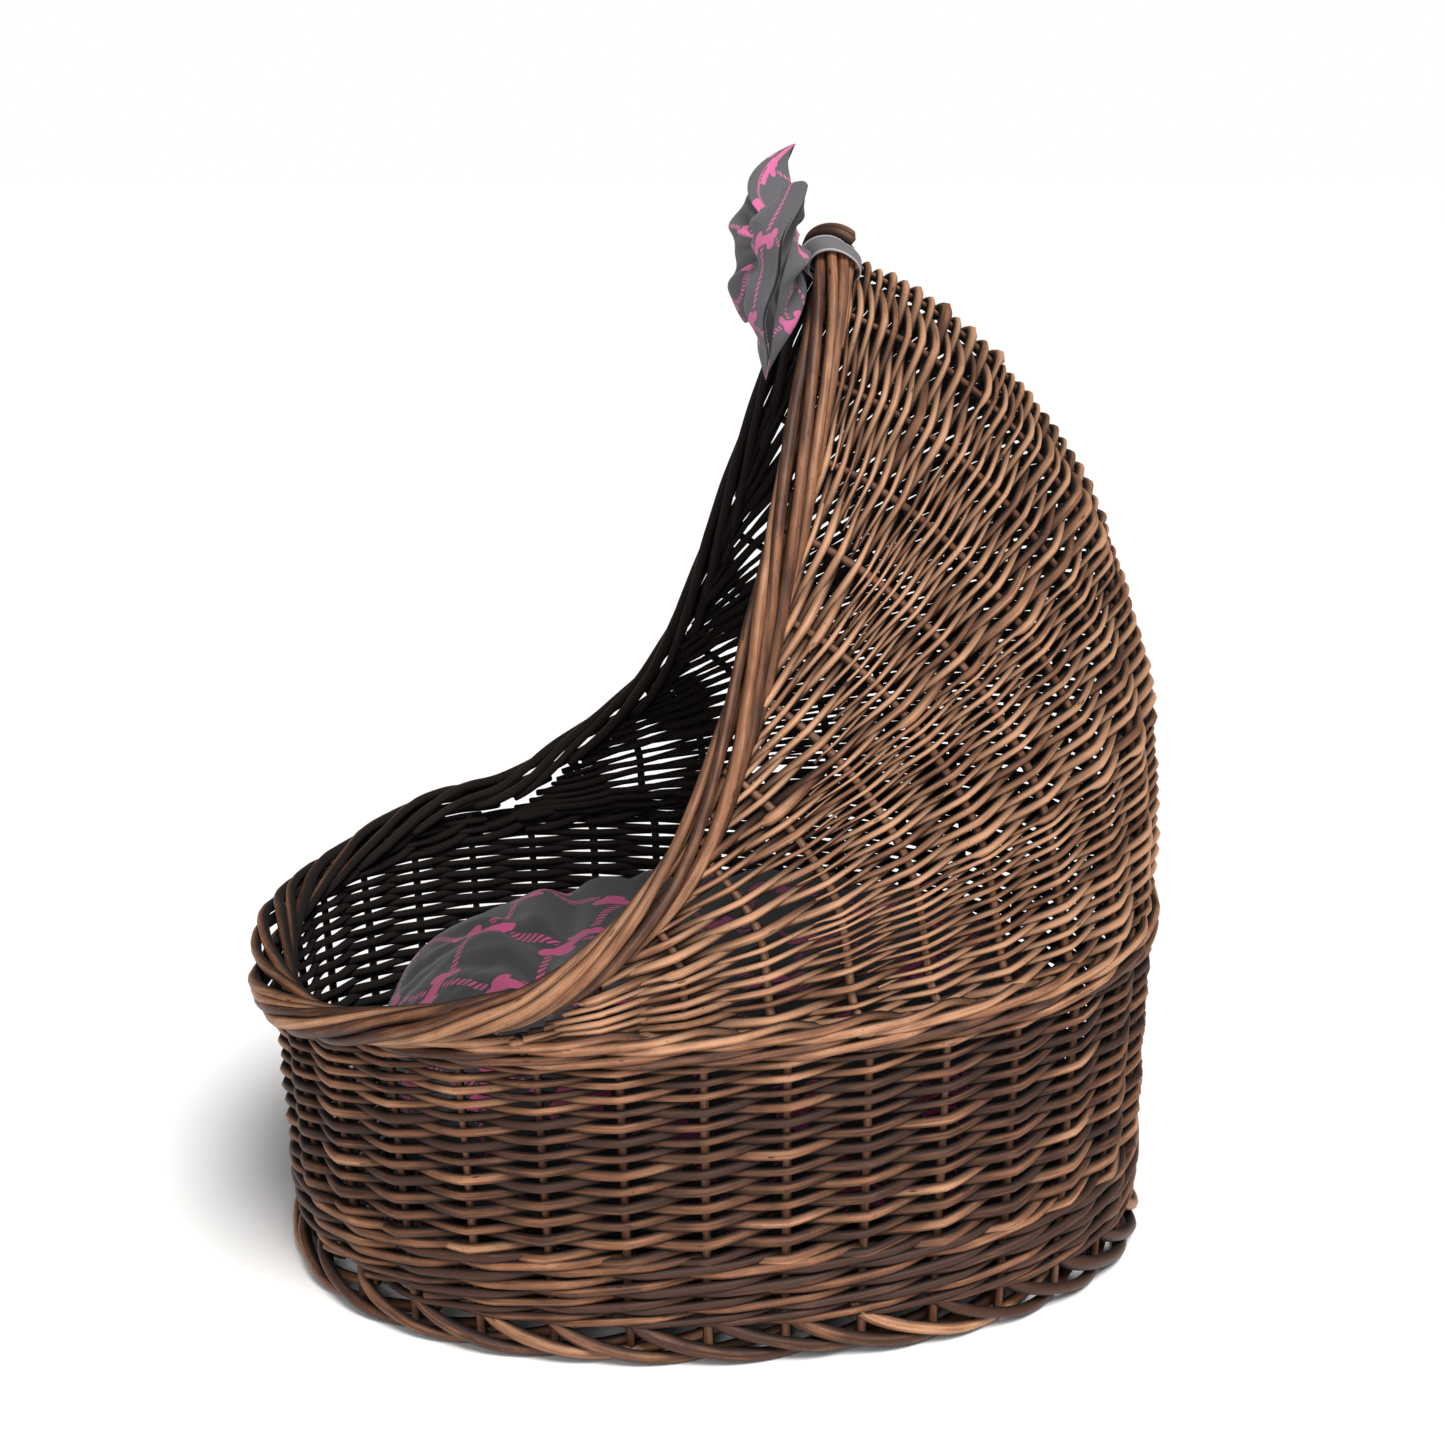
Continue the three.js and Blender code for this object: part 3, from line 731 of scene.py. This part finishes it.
def wale(bundles, start, stop, levels, strokes, sizes, tones, keep=None):
    """Three rods; each passes in front of two stakes and behind the third, in turn.

    levels, strokes and sizes are the band's height, a rod's rise and its radius, turn by turn."""
    for r in range(3):
        spot = np.arange(start + r - 1, stop, 1 / STEPS)
        phase = np.mod(spot - start - r, 3)
        near = np.clip(np.minimum(phase, 3 - phase), 0, 1)
        front = 2 * mix(near, smooth(near), 0.5) - 1
        rise = np.where(phase < 0.45, 0.5 - smooth(phase, -0.45, 0.45), (phase - 1.5) / 2.1)
        rise = np.where(phase > 2.55, 0.5 - smooth(phase, 2.55, 3.45), rise)
        turn = (spot - start) / STAKES
        level, climb, size = (np.interp(turn, range(len(v)), v) for v in (levels, strokes, sizes))
        z = level + climb * rise + drift(len(spot), 0.4, 14)
        out = STAKE_OUT + 1 + (STAKE_RADIUS + size - 0.3) * front
        path = wall(z / SHOULDER["z"], angle_at(spot), out)
        kept = np.ones(len(spot), bool) if keep is None else keep(spot, path)
        # Rods are joined behind a stake, a new one every few strokes.
        joints = np.flatnonzero((phase[1:] < phase[:-1]))
        joints = joints[:: int(rng.integers(5, 8))]
        for first, last in runs(kept):
            cuts = [first, *[j for j in joints if first + 8 < j < last - 8], last]
            for a, b in zip(cuts, cuts[1:]):
                part = path[a : b + 1 if b < last else b]
                share = np.linspace(1.06, 0.92, len(part))
                size_part = size[a : a + len(part)] * share
                target = bundles[int(rng.integers(len(bundles)))]
                # Painted shade where the rod lies behind a stake.
                dark = 0.3 * (1 - front[a : a + len(part)]) / 2
                target.rod(part, size_part, outward(part), dark=dark, tone=rng.uniform(*tones))


def upsett_wale():
    low, high = WALE
    levels = [low + 1.5, low + 12, low + 25, high - 6, high + 3]
    start, turns = 20.3, 3.6
    bundles = [Bundle() for _ in range(4)]
    # The wale's tones are set low: painted shade, darker low on the walls.
    wale(bundles, start, start + turns * STAKES, levels, [9, 11, 13, 12, 8],
         [2.4, 2.8, 3.3, 3.2, 2.3], (-0.45, 0.5))
    build_all(bundles, "upsett_rods", "willow_weave", WILLOW, "upsett_wale")


def shoulder_wale():
    bundles = [Bundle(), Bundle()]

    def under_border(spot, path):
        return ~is_front(spot) | (path[:, 2] < border_height(spot) + 2)

    for level in (215.5, 224.5):
        wale(bundles, NEAR_CORNER - 4.2 + level / 900, FAR_CORNER + 4.2, [level], [9.5], [3.1],
             (-0.1, 1.0), under_border)
    build_all(bundles, "shoulder_rods", "willow_weave", WILLOW, "shoulder_wale")


def foot_border():
    """Each stake's end comes out under the wale, sweeps down to the floor and tucks back in."""
    # Places past the stake, height of the middle, and distance outside the surface line.
    route = smooth_curve([(0, 34, -2), (0.1, 26, 2), (0.36, 20, 5.5), (0.8, 13, 7),
                          (1.3, 7.5, 6.5), (1.8, 5.2, 2), (2.3, 6, -5), (2.8, 9, -9), (3.2, 14, -11)])
    bundles = [Bundle() for _ in range(4)]
    for k in range(STAKES):
        points = route(np.linspace(0, 1, 34))
        spot = k + points[:, 0] * (1 + 0.05 * rng.normal()) + 0.04 * rng.normal()
        size = mix(4.4, 3.5, np.linspace(0, 1, 34)) * (1 + 0.07 * rng.normal())
        flat = wall(0, angle_at(spot), points[:, 2])
        flat[:, 2] = np.maximum(points[:, 1] + 0.7 * rng.normal(), size + 0.1)
        # Most foot rods' tones are set low, painted shade at the bottom; every fifth rod is a paler one.
        pale = rng.uniform(0.45, 0.8) if k % 5 == 2 else rng.uniform(-0.4, 0.3)
        bundles[k % 4].rod(flat, size, outward(flat), sides=9, tone=pale)
    build_all(bundles, "foot_rods", "willow_border", WILLOW_BORDER, "foot_border")


HOOD_SET = 26  # rows worked with one set of rods, thick at the start and thin at the end


def hood_radius(row):
    return mix(3.25, 1.75, np.mod(row, HOOD_SET) / HOOD_SET)


HOOD_ROW_LINE = np.linspace(0, HOOD_ROWS, 1041)
HOOD_PITCH = np.cumsum(hood_radius(HOOD_ROW_LINE) + 0.4)
HOOD_SHARE = (HOOD_PITCH - HOOD_PITCH[0]) / (HOOD_PITCH[-1] - HOOD_PITCH[0])


def hood_rods():
    """The hood's rods climb in the same way, from the near edge over to the far edge."""
    first_stake = math.ceil(NEAR_CORNER)
    across = int(FAR_CORNER) - first_stake + 2
    spot = np.arange(first_stake - 2, first_stake + across, 1 / STEPS)
    distance = spine_distance(spot)
    groups = 24
    bundles = [Bundle() for _ in range(groups)]
    spine_length = lengths_along(hood_spine(np.linspace(0, 1, 200)))[-1]
    # Rod c passes the first stake at row c, and climbs one row a stake.
    for c in range(-across, HOOD_ROWS + 1):
        row = c + (spot - first_stake)
        jitter = 0.05 * rng.normal()
        t = np.interp(np.clip(uneven_climb(row) + jitter, 0, HOOD_ROWS), HOOD_ROW_LINE, HOOD_SHARE)
        # How far apart the rows are here, as a share of their spacing on the spine.
        ahead, behind = np.clip(t + 0.01, 0, 1), np.clip(t - 0.01, 0, 1)
        gap = np.linalg.norm(hood(ahead, distance) - hood(behind, distance), axis=1)
        local = gap / (ahead - behind) / spine_length
        radius = hood_radius(row + 0.2) * (1 + 0.13 * rng.normal()) * np.clip(local * 1.06, 0.5, 1.12)
        # Where the rows crowd together near the edges, half of the rods are left out.
        crowd = 1 - smooth(local, 0.48, 0.6)
        radius = np.maximum(radius * (1 + 0.9 * crowd), 1.3)
        swing = (STAKE_RADIUS + radius - 0.5) * (1 + drift(len(row), 0.07, 15))
        path = hood(t, distance, STAKE_OUT + swing * stroke(row))
        past = np.abs(distance) - row_end(t)
        lift = hood_lift(hood(t, distance)[:, 2])
        keep = (row > -0.6) & (row < HOOD_ROWS - 0.5) & (past < lift - 3)
        left_out = c % 4 >= 2
        if left_out:
            keep &= crowd < 0.5
        for first, last in runs(keep):
            if last - first > 5:
                part = path[first:last]
                if left_out:
                    # A rod that is left out near the edge thins to a point where it stops.
                    from_end = np.minimum(np.arange(last - first), np.arange(last - first)[::-1])
                    radius[first:last] *= np.clip(0.35 + from_end / 14, 0.35, 1)
                target = bundles[(c + across) * groups // (HOOD_ROWS + 1 + across)]
                # Painted shade behind the stakes; the hood's tones are set high, a painted light on the
                # hood, which faces the light.
                target.rod(part, radius[first:last], outward(part), sides=6,
                           dark=hidden(stroke(row[first:last])), tone=rng.uniform(0.3, 1.5))
    build_all(bundles, "hood_rods", "willow_weave", WILLOW, "hood_siding")


def stakes():
    """Uprights: up the wall and, behind the corners, on up the hood beside the spine."""
    groups = 8
    bundles = [Bundle() for _ in range(groups)]
    for k in range(STAKES):
        front = bool(is_front(k))
        top = float(border_height(k)) if front else 208
        z = np.arange(6, top, 6.0)
        path = wall(z / SHOULDER["z"], angle_at(np.full(len(z), float(k))), STAKE_OUT)
        if not front:
            distance = float(spine_distance(k + STAKES if k < STAKES / 2 else k))
            t = np.linspace(0.01, 1, 110)
            line = hood(t, distance, STAKE_OUT)
            gone = np.flatnonzero(abs(distance) > row_end(t) + hood_lift(line[:, 2]))
            path = np.vstack([path, line[: gone[0]] if len(gone) else line])
        n = len(path)
        path = path + outward(path) * drift(n, 0.3, 12)[:, None]
        size = STAKE_RADIUS * mix(1.06, 0.85, np.linspace(0, 1, n))
        bundles[k % groups].rod(path, size, outward(path), sides=8, tone=0.3 + 0.5 * rng.random())
    for i, bundle in enumerate(bundles):
        nodes = [f"stake_{j + 1:02d}" for j in range(i, STAKES, groups)]
        bundle.build(f"stake_rods_{i + 1}", "willow_stake", WILLOW_STAKE, nodes)


def peak():
    """The distance along the border to its highest point."""
    s = np.linspace(0, border.whole, 4000)
    return s[np.argmax(border.at(s)[0][:, 2])]


def peak_roll(bundle):
    """The last rods of the border, turned over its peak and tucked in."""
    for shift, reach in ((-9, 1.6), (-1, 2.4), (7, 1.2)):
        turn = np.radians(np.linspace(-20, 165, 40))
        line = peak() + shift + 5 * np.sin(turn) + drift(40, 0.6)
        path, facing = border.around(line, BORDER["hood_half_width"] + reach,
                                     BORDER["half_height"] + reach, turn)
        bundle.rod(path, mix(4.4, 3.6, np.linspace(0, 1, 40)), facing, sides=9, tone=0.1)


def rim_border():
    """Strands laid like a rope: each starts below, crosses the outside and turns over inward."""
    s = np.arange(0, border.whole * 2, 1.0)
    hooded = border.at(s)[3]
    # Degrees that a strand has turned round the middle line, slower up the hood.
    turned = np.concatenate([[0], np.cumsum(mix(1.12, 0.62, hooded))])[:-1]
    groups = 8
    bundles = [Bundle() for _ in range(groups)]
    at = 0.0
    i = 0
    while at < border.whole - 8:
        begin = max(at + 2.5 * rng.normal(), 0)
        first_angle, last_angle = -112 + 8 * rng.normal(), 222
        start_turn = float(np.interp(begin, s, turned))
        end = float(np.interp(start_turn + last_angle - first_angle, turned, s))
        line = np.arange(begin, end, 4.0)
        angle = first_angle + np.interp(line, s, turned) - start_turn
        angle = np.radians(angle + drift(len(line), 4.0, 12))
        hooded_line = border.at(line)[3]
        size = mix(4.1, 3.3, np.linspace(0, 1, len(line))) * (1 + 0.09 * rng.normal())
        half_width = mix(BORDER["rim_half_width"], BORDER["hood_half_width"], hooded_line)
        sink = drift(len(line), 0.5, 12) + 0.6 * rng.random()
        half_height = mix(BORDER["rim_half_height"], BORDER["half_height"], hooded_line)
        path, facing = border.around(line, (half_width - size - sink)[:, None],
                                     (half_height - size - sink)[:, None], angle)
        bundles[i % groups].rod(path, size, facing, sides=9, tone=rng.uniform(0, 0.85))
        at += mix(46.0, 90.0, float(np.interp(at, s, hooded)))
        i += 1
    peak_roll(bundles[0])
    build_all(bundles, "border_rods", "willow_border", WILLOW_BORDER, "rim_border")


def base_rod(bundle, x, y, z, radius, sides=8, dark=0.0):
    path = np.stack(np.broadcast_arrays(x, y, z), -1)
    down = np.tile([0.0, 0.0, -1.0], (len(path), 1))
    bundle.rod(path, radius, down, sides=sides, dark=dark)


def base_weave():
    """Oval rows, woven over and under the cross sticks and, at the ends, round the turn."""
    ring_step = 7.2
    bundles = [Bundle() for _ in range(4)]
    inner_length = BASE["half_length"] - BASE["half_width"]
    for m in range(1, int((BASE["half_width"] - 8) // ring_step) + 1):
        reach = m * ring_step
        angle = np.linspace(0, 2 * math.pi, 60 + 8 * m)
        x, y = oval(angle, reach, reach + inner_length)
        ribs = np.where(np.abs(y) < inner_length + reach * 0.45, y / CROSS_STEP, 8 * angle / math.pi)
        z = BASE_Z + 4 * np.cos(math.pi * (ribs + m))
        z = np.convolve(np.pad(z, 3, "wrap"), np.ones(7) / 7, "valid")
        # Painted shade: the base's rods are all a quarter of the way to their darkest.
        base_rod(bundles[m % 4], x, y + BASE["y"], z, 2.9, sides=6, dark=0.25)
    build_all(bundles, "base_weave", "willow_weave", WILLOW, "base_panel")


def base_sticks():
    bundle = Bundle()
    radius = 3.2
    for x in (-26, 0, 26):
        y = np.linspace(BASE["y"] - 268, BASE["y"] + 268, 40)
        base_rod(bundle, x, y, BASE_Z - 6.6 + drift(40, 0.2), radius)
    for offset in CROSS_STEP * np.arange(-3, 4):
        share = abs(offset) / BASE["half_length"]
        reach = (BASE["half_width"] - 14) * (1 - share**OVAL_POWER) ** (1 / OVAL_POWER)
        x = np.linspace(-reach, reach, 40)
        base_rod(bundle, x, BASE["y"] + offset, BASE_Z + drift(40, 0.2), radius)
    nodes = [f"base_stick_long_{i}" for i in range(1, 4)]
    nodes += [f"base_stick_cross_{i}" for i in range(1, 8)]
    bundle.build("base_sticks", "willow_stake", WILLOW_STAKE, nodes)


# ---------------------------------------------------------------- the cushion
def cushion_shape(shrink):
    """A closed oval pillow, smaller all round than the cushion's full size by shrink."""
    mesh = bmesh.new()
    around, levels = 64, 24
    half_width, half_length = CUSHION["half_width"] - shrink, CUSHION["half_length"] - shrink
    middle = mix(CUSHION["bottom"], CUSHION["top"], 0.42)
    rings = []
    for i in range(1, levels):
        tilt = mix(-math.pi / 2, math.pi / 2, i / levels)
        rise = math.sin(tilt)
        height = middle - CUSHION["bottom"] if rise < 0 else CUSHION["top"] - middle
        z = middle + (height - shrink) * signed_power(rise, 0.55 if rise < 0 else 0.5)
        width = math.cos(tilt) ** 0.42
        ring = []
        for j in range(around):
            angle = 2 * math.pi * j / around
            x, y = oval(angle, half_width * width, half_length * width)
            ring.append(mesh.verts.new((x * MM, (y + CUSHION["y"]) * MM, z * MM)))
        rings.append(ring)
    for a, b in zip(rings, rings[1:]):
        for j in range(around):
            k = (j + 1) % around
            mesh.faces.new((a[j], b[j], b[k], a[k]))
    mesh.faces.new(rings[0])
    mesh.faces.new(rings[-1][::-1])
    bmesh.ops.recalc_face_normals(mesh, faces=mesh.faces)
    made = bpy.data.meshes.new("cushion_start")
    mesh.to_mesh(made)
    mesh.free()
    return made


def apply_modifiers(obj):
    graph = bpy.context.evaluated_depsgraph_get()
    result = bpy.data.meshes.new_from_object(obj.evaluated_get(graph))
    obj.modifiers.clear()
    obj.data = result

def subdivide(obj):
    smoother = obj.modifiers.new("smooth", "SUBSURF")
    smoother.levels = 1
    smoother.render_levels = 1
    apply_modifiers(obj)


def vertex_array(mesh):
    co = np.zeros(len(mesh.vertices) * 3, np.float32)
    mesh.vertices.foreach_get("co", co)
    return co.reshape(-1, 3).astype(float)


def inflate(obj, pressure, cap):
    """Blows the piece up as cloth, and keeps every point within cap of where it was."""
    before = vertex_array(obj.data)
    cloth = obj.modifiers.new("cloth", "CLOTH")
    settings = cloth.settings
    settings.use_pressure = True
    settings.uniform_pressure_force = pressure
    settings.effector_weights.gravity = 0
    settings.mass = 0.25
    settings.tension_stiffness = 12
    settings.bending_stiffness = 0.4
    settings.quality = 4
    cloth.collision_settings.use_collision = False
    for number in range(1, 21):
        bpy.context.scene.frame_set(number)
    apply_modifiers(obj)
    bpy.context.scene.frame_set(1)
    after = vertex_array(obj.data)
    move = after - before
    size = np.linalg.norm(move, axis=1, keepdims=True)
    move *= np.minimum(1, cap / np.maximum(size, 1e-9))
    obj.data.vertices.foreach_set("co", (before + move).astype(np.float32).ravel())
    obj.data.update()


# Creases of the cushion's cover: start, middle and end in plan, width and depth.
CREASES = [
    ((-150, -110), (-40, -90), (96, -130), 15, 8),
    ((-120, -60), (0, -20), (150, -70), 13, 7),
    ((-70, -160), (30, -120), (150, -128), 11, 7),
    ((-160, 10), (-60, 30), (60, 0), 15, 6),
    ((20, -190), (70, -120), (168, -70), 10, 6),
    ((40, 40), (110, 20), (175, 50), 13, 6),
    ((-130, 110), (-20, 120), (90, 90), 15, 6),
    ((-40, -200), (-20, -150), (40, -112), 10, 6),
    ((-176, -60), (-120, -20), (-60, -10), 12, 6),
    ((60, 150), (110, 120), (160, 120), 12, 5),
    ((100, -30), (140, -10), (184, -20), 9, 5),
]


def crease(points):
    """How far each point of the cover is pressed in, in millimetres; below 0 it is raised."""
    depth = np.zeros(len(points))
    for start, middle, end, width, deep in CREASES:
        t = np.linspace(0, 1, 60)[:, None]
        a, b, c = (np.array(p, float) + (0, CUSHION["y"]) for p in (start, middle, end))
        line = a * (1 - t) ** 2 + 2 * b * t * (1 - t) + c * t**2
        gap = np.linalg.norm(points[:, None, :2] - line[None], axis=2)
        near = gap.argmin(1)
        gap = gap.min(1)
        fade = np.sin(math.pi * np.clip(near / 59, 0.02, 0.98)) ** 0.6
        depth += deep * fade * np.exp(-((gap / width) ** 2) * 2.2)
        depth -= 0.45 * deep * fade * np.exp(-(((gap - width * 1.5) / width) ** 2) * 2)
    return depth


def print_plan(rest):
    """The print's coordinates: the plan, let out where the cover falls away at the sides."""
    plan = rest - (0, CUSHION["y"], 0)
    drop = np.maximum(0, CUSHION["top"] - rest[:, 2])
    grow = 1 + 0.75 * drop / np.maximum(np.linalg.norm(plan[:, :2], axis=1), 60)
    turn = math.radians(33)
    u = (plan[:, 0] * math.cos(turn) - plan[:, 1] * math.sin(turn)) * grow
    v = (plan[:, 0] * math.sin(turn) + plan[:, 1] * math.cos(turn)) * grow
    return np.stack([u, v, rest[:, 2]], -1)


def cushion():
    obj = add_object("cushion_cover", cushion_shape(3))
    remesh = obj.modifiers.new("remesh", "REMESH")
    remesh.mode = "VOXEL"
    remesh.voxel_size = 0.006
    apply_modifiers(obj)
    plan = print_plan(vertex_array(obj.data) / MM)
    inflate(obj, 4.0, 0.012)
    mesh = obj.data
    points = vertex_array(mesh) / MM
    normals = np.array([p.normal for p in mesh.vertices])
    upper = smooth(points[:, 2], 80, 120)
    ripple = (1.6 * np.sin(points[:, 0] / 19 + 2 * np.sin(points[:, 1] / 47))
              + 1.3 * np.sin(points[:, 1] / 15 + 1.7 * np.sin(points[:, 0] / 33)))
    seam = 4 * np.exp(-(((points[:, 2] - 98) / 5) ** 2))
    pressed = crease(points) * upper + ripple * (0.4 + 0.6 * (1 - upper)) + seam
    points -= normals * pressed[:, None]
    points[:, 2] = np.maximum(points[:, 2], CUSHION["bottom"])
    mesh.vertices.foreach_set("co", (points * MM).astype(np.float32).ravel())
    dress(mesh, CUSHION_CLOTH_PAINTED_SHADE, cloth=plan)
    subdivide(obj)
    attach(obj, "cushion_body")
    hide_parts("cushion")


# ---------------------------------------------------------------- the bow
def grid_mesh(name, rings, cloth, selvage, material, closed_ends=True):
    """A skin through rings of points, each ring closed; open ends that meet are joined."""
    rings = np.asarray(rings, float)
    count, around = rings.shape[:2]
    faces = []
    for i in range(0, (count - 1) * around, around):
        for j in range(around):
            k = (j + 1) % around
            faces.append((i + j, i + k, i + around + k, i + around + j))
    if closed_ends:
        faces.append(tuple(range(around - 1, -1, -1)))
        faces.append(tuple(range((count - 1) * around, count * around)))
    mesh = bpy.data.meshes.new(name)
    mesh.from_pydata((rings.reshape(-1, 3) * MM).tolist(), [], faces)
    dress(mesh, material, cloth=cloth, selvage=selvage)
    work = bmesh.new()
    work.from_mesh(mesh)
    if not closed_ends:
        bmesh.ops.remove_doubles(work, verts=work.verts, dist=1e-6)
    bmesh.ops.recalc_face_normals(work, faces=work.faces)
    work.to_mesh(mesh)
    work.free()
    return mesh


def bow_wing(side, drop, tip, name, seed):
    """A gathered loop of cloth: narrow and pleated at the knot, folded to a ridge at its end."""
    along_count, around = 44, 96
    rings, cloth, selvage = [], [], []
    for i in range(along_count):
        a = i / (along_count - 1)
        reach = mix(11, 81, a)
        spread = smooth(a, -0.25, 0.9)
        half_height = mix(11, 58, spread**1.1)
        depth = mix(7, 15, smooth(a, 0, 0.5)) * (1 - 0.93 * smooth(a, 0.5, 1.0) ** 1.3)
        centre_y = mix(48, 38, smooth(a, 0, 0.7))
        centre_z = mix(664, 656, a) - drop * a
        ring, edge = [], []
        for j in range(around):
            turn = 2 * math.pi * j / around
            up, out = math.cos(turn), math.sin(turn)
            high = math.copysign(abs(up) ** 0.9, up)
            front = math.copysign(abs(out) ** 0.75, out)
            pleat = (1 - smooth(a, 0.05, 0.95)) * math.sin(5.2 * high * math.pi + seed)
            deep = math.sin(2.3 * high * math.pi + seed * 1.7) * (1 - a * 0.55)
            fold = 6.0 * pleat + 6.5 * deep * smooth(a, 0.0, 0.3)
            y = centre_y + depth * front + fold * (1 - 0.35 * a)
            y += 9 * smooth(a, 0.4, 1.0) * high * high - 4 * smooth(a, 0.5, 1)
            y += 0.2 * high * half_height * smooth(a, 0.2, 1)
            y += tip * max(0.0, high) ** 2 * smooth(a, 0.2, 1)
            x = reach - 7 * smooth(a, 0.4, 1) * high**2 + 2.5 * math.sin(3 * high + seed) * a
            ring.append((side * x, y, centre_z + half_height * high))
            end_seam = a > 0.985 and abs(high) < 0.97
            edge.append(-1.0 if end_seam else float(out > 0 and abs(high) > 0.972 and a > 0.35))
        rings.append(ring)
        ring = np.array(ring)
        # The print runs round the loop by its true length, counted from the top edge.
        length = lengths_along(np.vstack([ring, ring[:1]]))
        half = around // 2
        round_loop = np.minimum(length[:-1], length[-1] - length[:-1]) - length[half] / 2
        across = a * 96 + np.where(np.arange(around) > half, 38, 0)
        cloth.append(np.stack([across, round_loop + seed * 31, 0 * across], -1))
        selvage.append(edge)
    mesh = grid_mesh(name, rings, cloth, selvage, BOW_CLOTH)
    obj = place(name, mesh, "bow_fabric", "basket")
    subdivide(obj)
    return obj


def bow_knot():
    rings, cloth = [], []
    for polar in np.linspace(-1, 1, 25):
        width = 0.55 + 0.45 * math.sqrt(max(0.0, 1 - polar * polar))
        turn = 2 * math.pi * np.arange(40) / 40
        pleat = width * (1 + 0.07 * np.sin(7 * turn + 3 * polar))
        y, z = KNOT[1] + 13 * pleat * np.cos(turn), KNOT[2] + 15 * pleat * np.sin(turn)
        rings.append(np.stack(np.broadcast_arrays(KNOT[0] + 12 * polar, y, z), -1))
        cloth.append(np.stack(np.broadcast_arrays(polar * 14 + 20, turn * 14, 0), -1))
    mesh = grid_mesh("bow_knot_wrap", rings, cloth, np.zeros((25, 40)), BOW_CLOTH)
    place("bow_knot_wrap", mesh, "bow_fabric", "basket", ("bow_knot",))


def bow():
    right = bow_wing(1, 12, 0, "bow_wing_near", 0.6)
    left = bow_wing(-1, -12, 14, "bow_wing_far", 2.1)
    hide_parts("bow_wing_right")
    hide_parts("bow_wing_left")
    bow_knot()
    ribbon()


RIBBON_SHIFT = 22.0  # the tie sits this far from the peak, towards side +X


def ribbon():
    """The flat tie round the border near the peak, tilted where it crosses the top."""
    middle, normal, away, _ = (p[0] for p in border.at(np.array([peak() - RIBBON_SHIFT])))
    along = unit(np.cross(normal, away))
    along = along * np.sign(along[0])
    turns = np.linspace(0, 2 * math.pi, 73)[:-1]
    a, b = BORDER["hood_half_width"] + 2.2, BORDER["half_height"] + 2.2
    rings, cloth, selvage = [], [], []
    for t in turns:
        facing = normal * math.cos(t) + away * math.sin(t)
        spot = middle + normal * a * math.cos(t) + away * b * math.sin(t)
        lift = 0.5 * math.sin(3 * t)
        lean = 0.75 * max(0.0, math.sin(t))
        ring = []
        for x, out in ((-5.2, 0), (0, 0.35), (5.2, 0), (5.2, 0.9), (0, 1.25), (-5.2, 0.9)):
            raised = out + lift + (5.2 - x) * math.sin(lean)
            ring.append(spot + facing * raised + along * (x * math.cos(lean) + 1.5 * math.sin(t)))
        rings.append(ring)
        cloth.append([(t * 16, x, 0) for x in (-5.5, 0, 5.5, 5.5, 0, -5.5)])
        selvage.append([1, 0, 1, 1, 0, 1])
    rings.append(rings[0])
    cloth.append(cloth[0])
    selvage.append(selvage[0])
    edges = np.array(selvage) * 0.62
    mesh = grid_mesh("ribbon_tie", rings, cloth, edges, RIBBON_CLOTH, closed_ends=False)
    tie = place("ribbon_tie", mesh, "ribbon_fabric", "basket", ("bow_ribbon",))


# ---------------------------------------------------------------- camera, lights and floor
def aim(obj, location, target):
    obj.location = location
    obj.rotation_euler = (Vector(target) - obj.location).to_track_quat("-Z", "Y").to_euler()


def camera():
    data = bpy.data.cameras.new("camera")
    data.lens = 53.8
    data.sensor_width = 36
    data.clip_end = 50
    obj = add_object("camera", data)
    aim(obj, (1.3945, -0.1169, 0.736), (0, 0.0115, 0.350))
    bpy.context.scene.camera = obj


def lights():
    """A wide, soft sun high on side +X, and a weak disk that lifts the same side."""
    sun = bpy.data.lights.new("key", "SUN")
    sun.energy = 3.6
    sun.angle = math.radians(28)
    sun.color = (1, 0.985, 0.965)
    aim(add_object("key", sun), (1.0, 0.42, 1.65), (0, 0, 0))
    disk = bpy.data.lights.new("front", "AREA")
    disk.shape = "DISK"
    disk.size = 0.8
    disk.energy = 12
    aim(add_object("front", disk), (1.9, -0.6, 1.1), (0, 0, 0.3))


def surroundings():
    """White to the camera, and a dim even light on the basket."""
    world = bpy.data.worlds.new("studio")
    world.use_nodes = True
    nodes, links = world.node_tree.nodes, world.node_tree.links
    background = nodes["Background"]
    background.inputs["Color"].default_value = (1, 1, 1, 1)
    strength = nodes.new("ShaderNodeMapRange")
    strength.inputs["To Min"].default_value = 0.17
    strength.inputs["To Max"].default_value = 1.0
    links.new(nodes.new("ShaderNodeLightPath").outputs["Is Camera Ray"], strength.inputs["Value"])
    links.new(strength.outputs["Result"], background.inputs["Strength"])
    bpy.context.scene.world = world
    bpy.context.scene.view_settings.view_transform = "Standard"


def floor():
    mesh = bpy.data.meshes.new("floor")
    reach = 30.0
    corners = [(-reach, -reach, 0), (reach, -reach, 0), (reach, reach, 0), (-reach, reach, 0)]
    mesh.from_pydata(corners, [], [(0, 1, 2, 3)])
    g = Graph("floor_pale")
    g.set("Base Color", (0.96, 0.96, 0.96, 1))
    g.set("Roughness", 0.9)
    mesh.materials.append(g.material)
    add_object("floor", mesh)


camera()
lights()
surroundings()
floor()
foot_border()
upsett_wale()
lower_siding()
shoulder_wale()
stakes()
hood_rods()
rim_border()
base_weave()
base_sticks()
cushion()
bow()
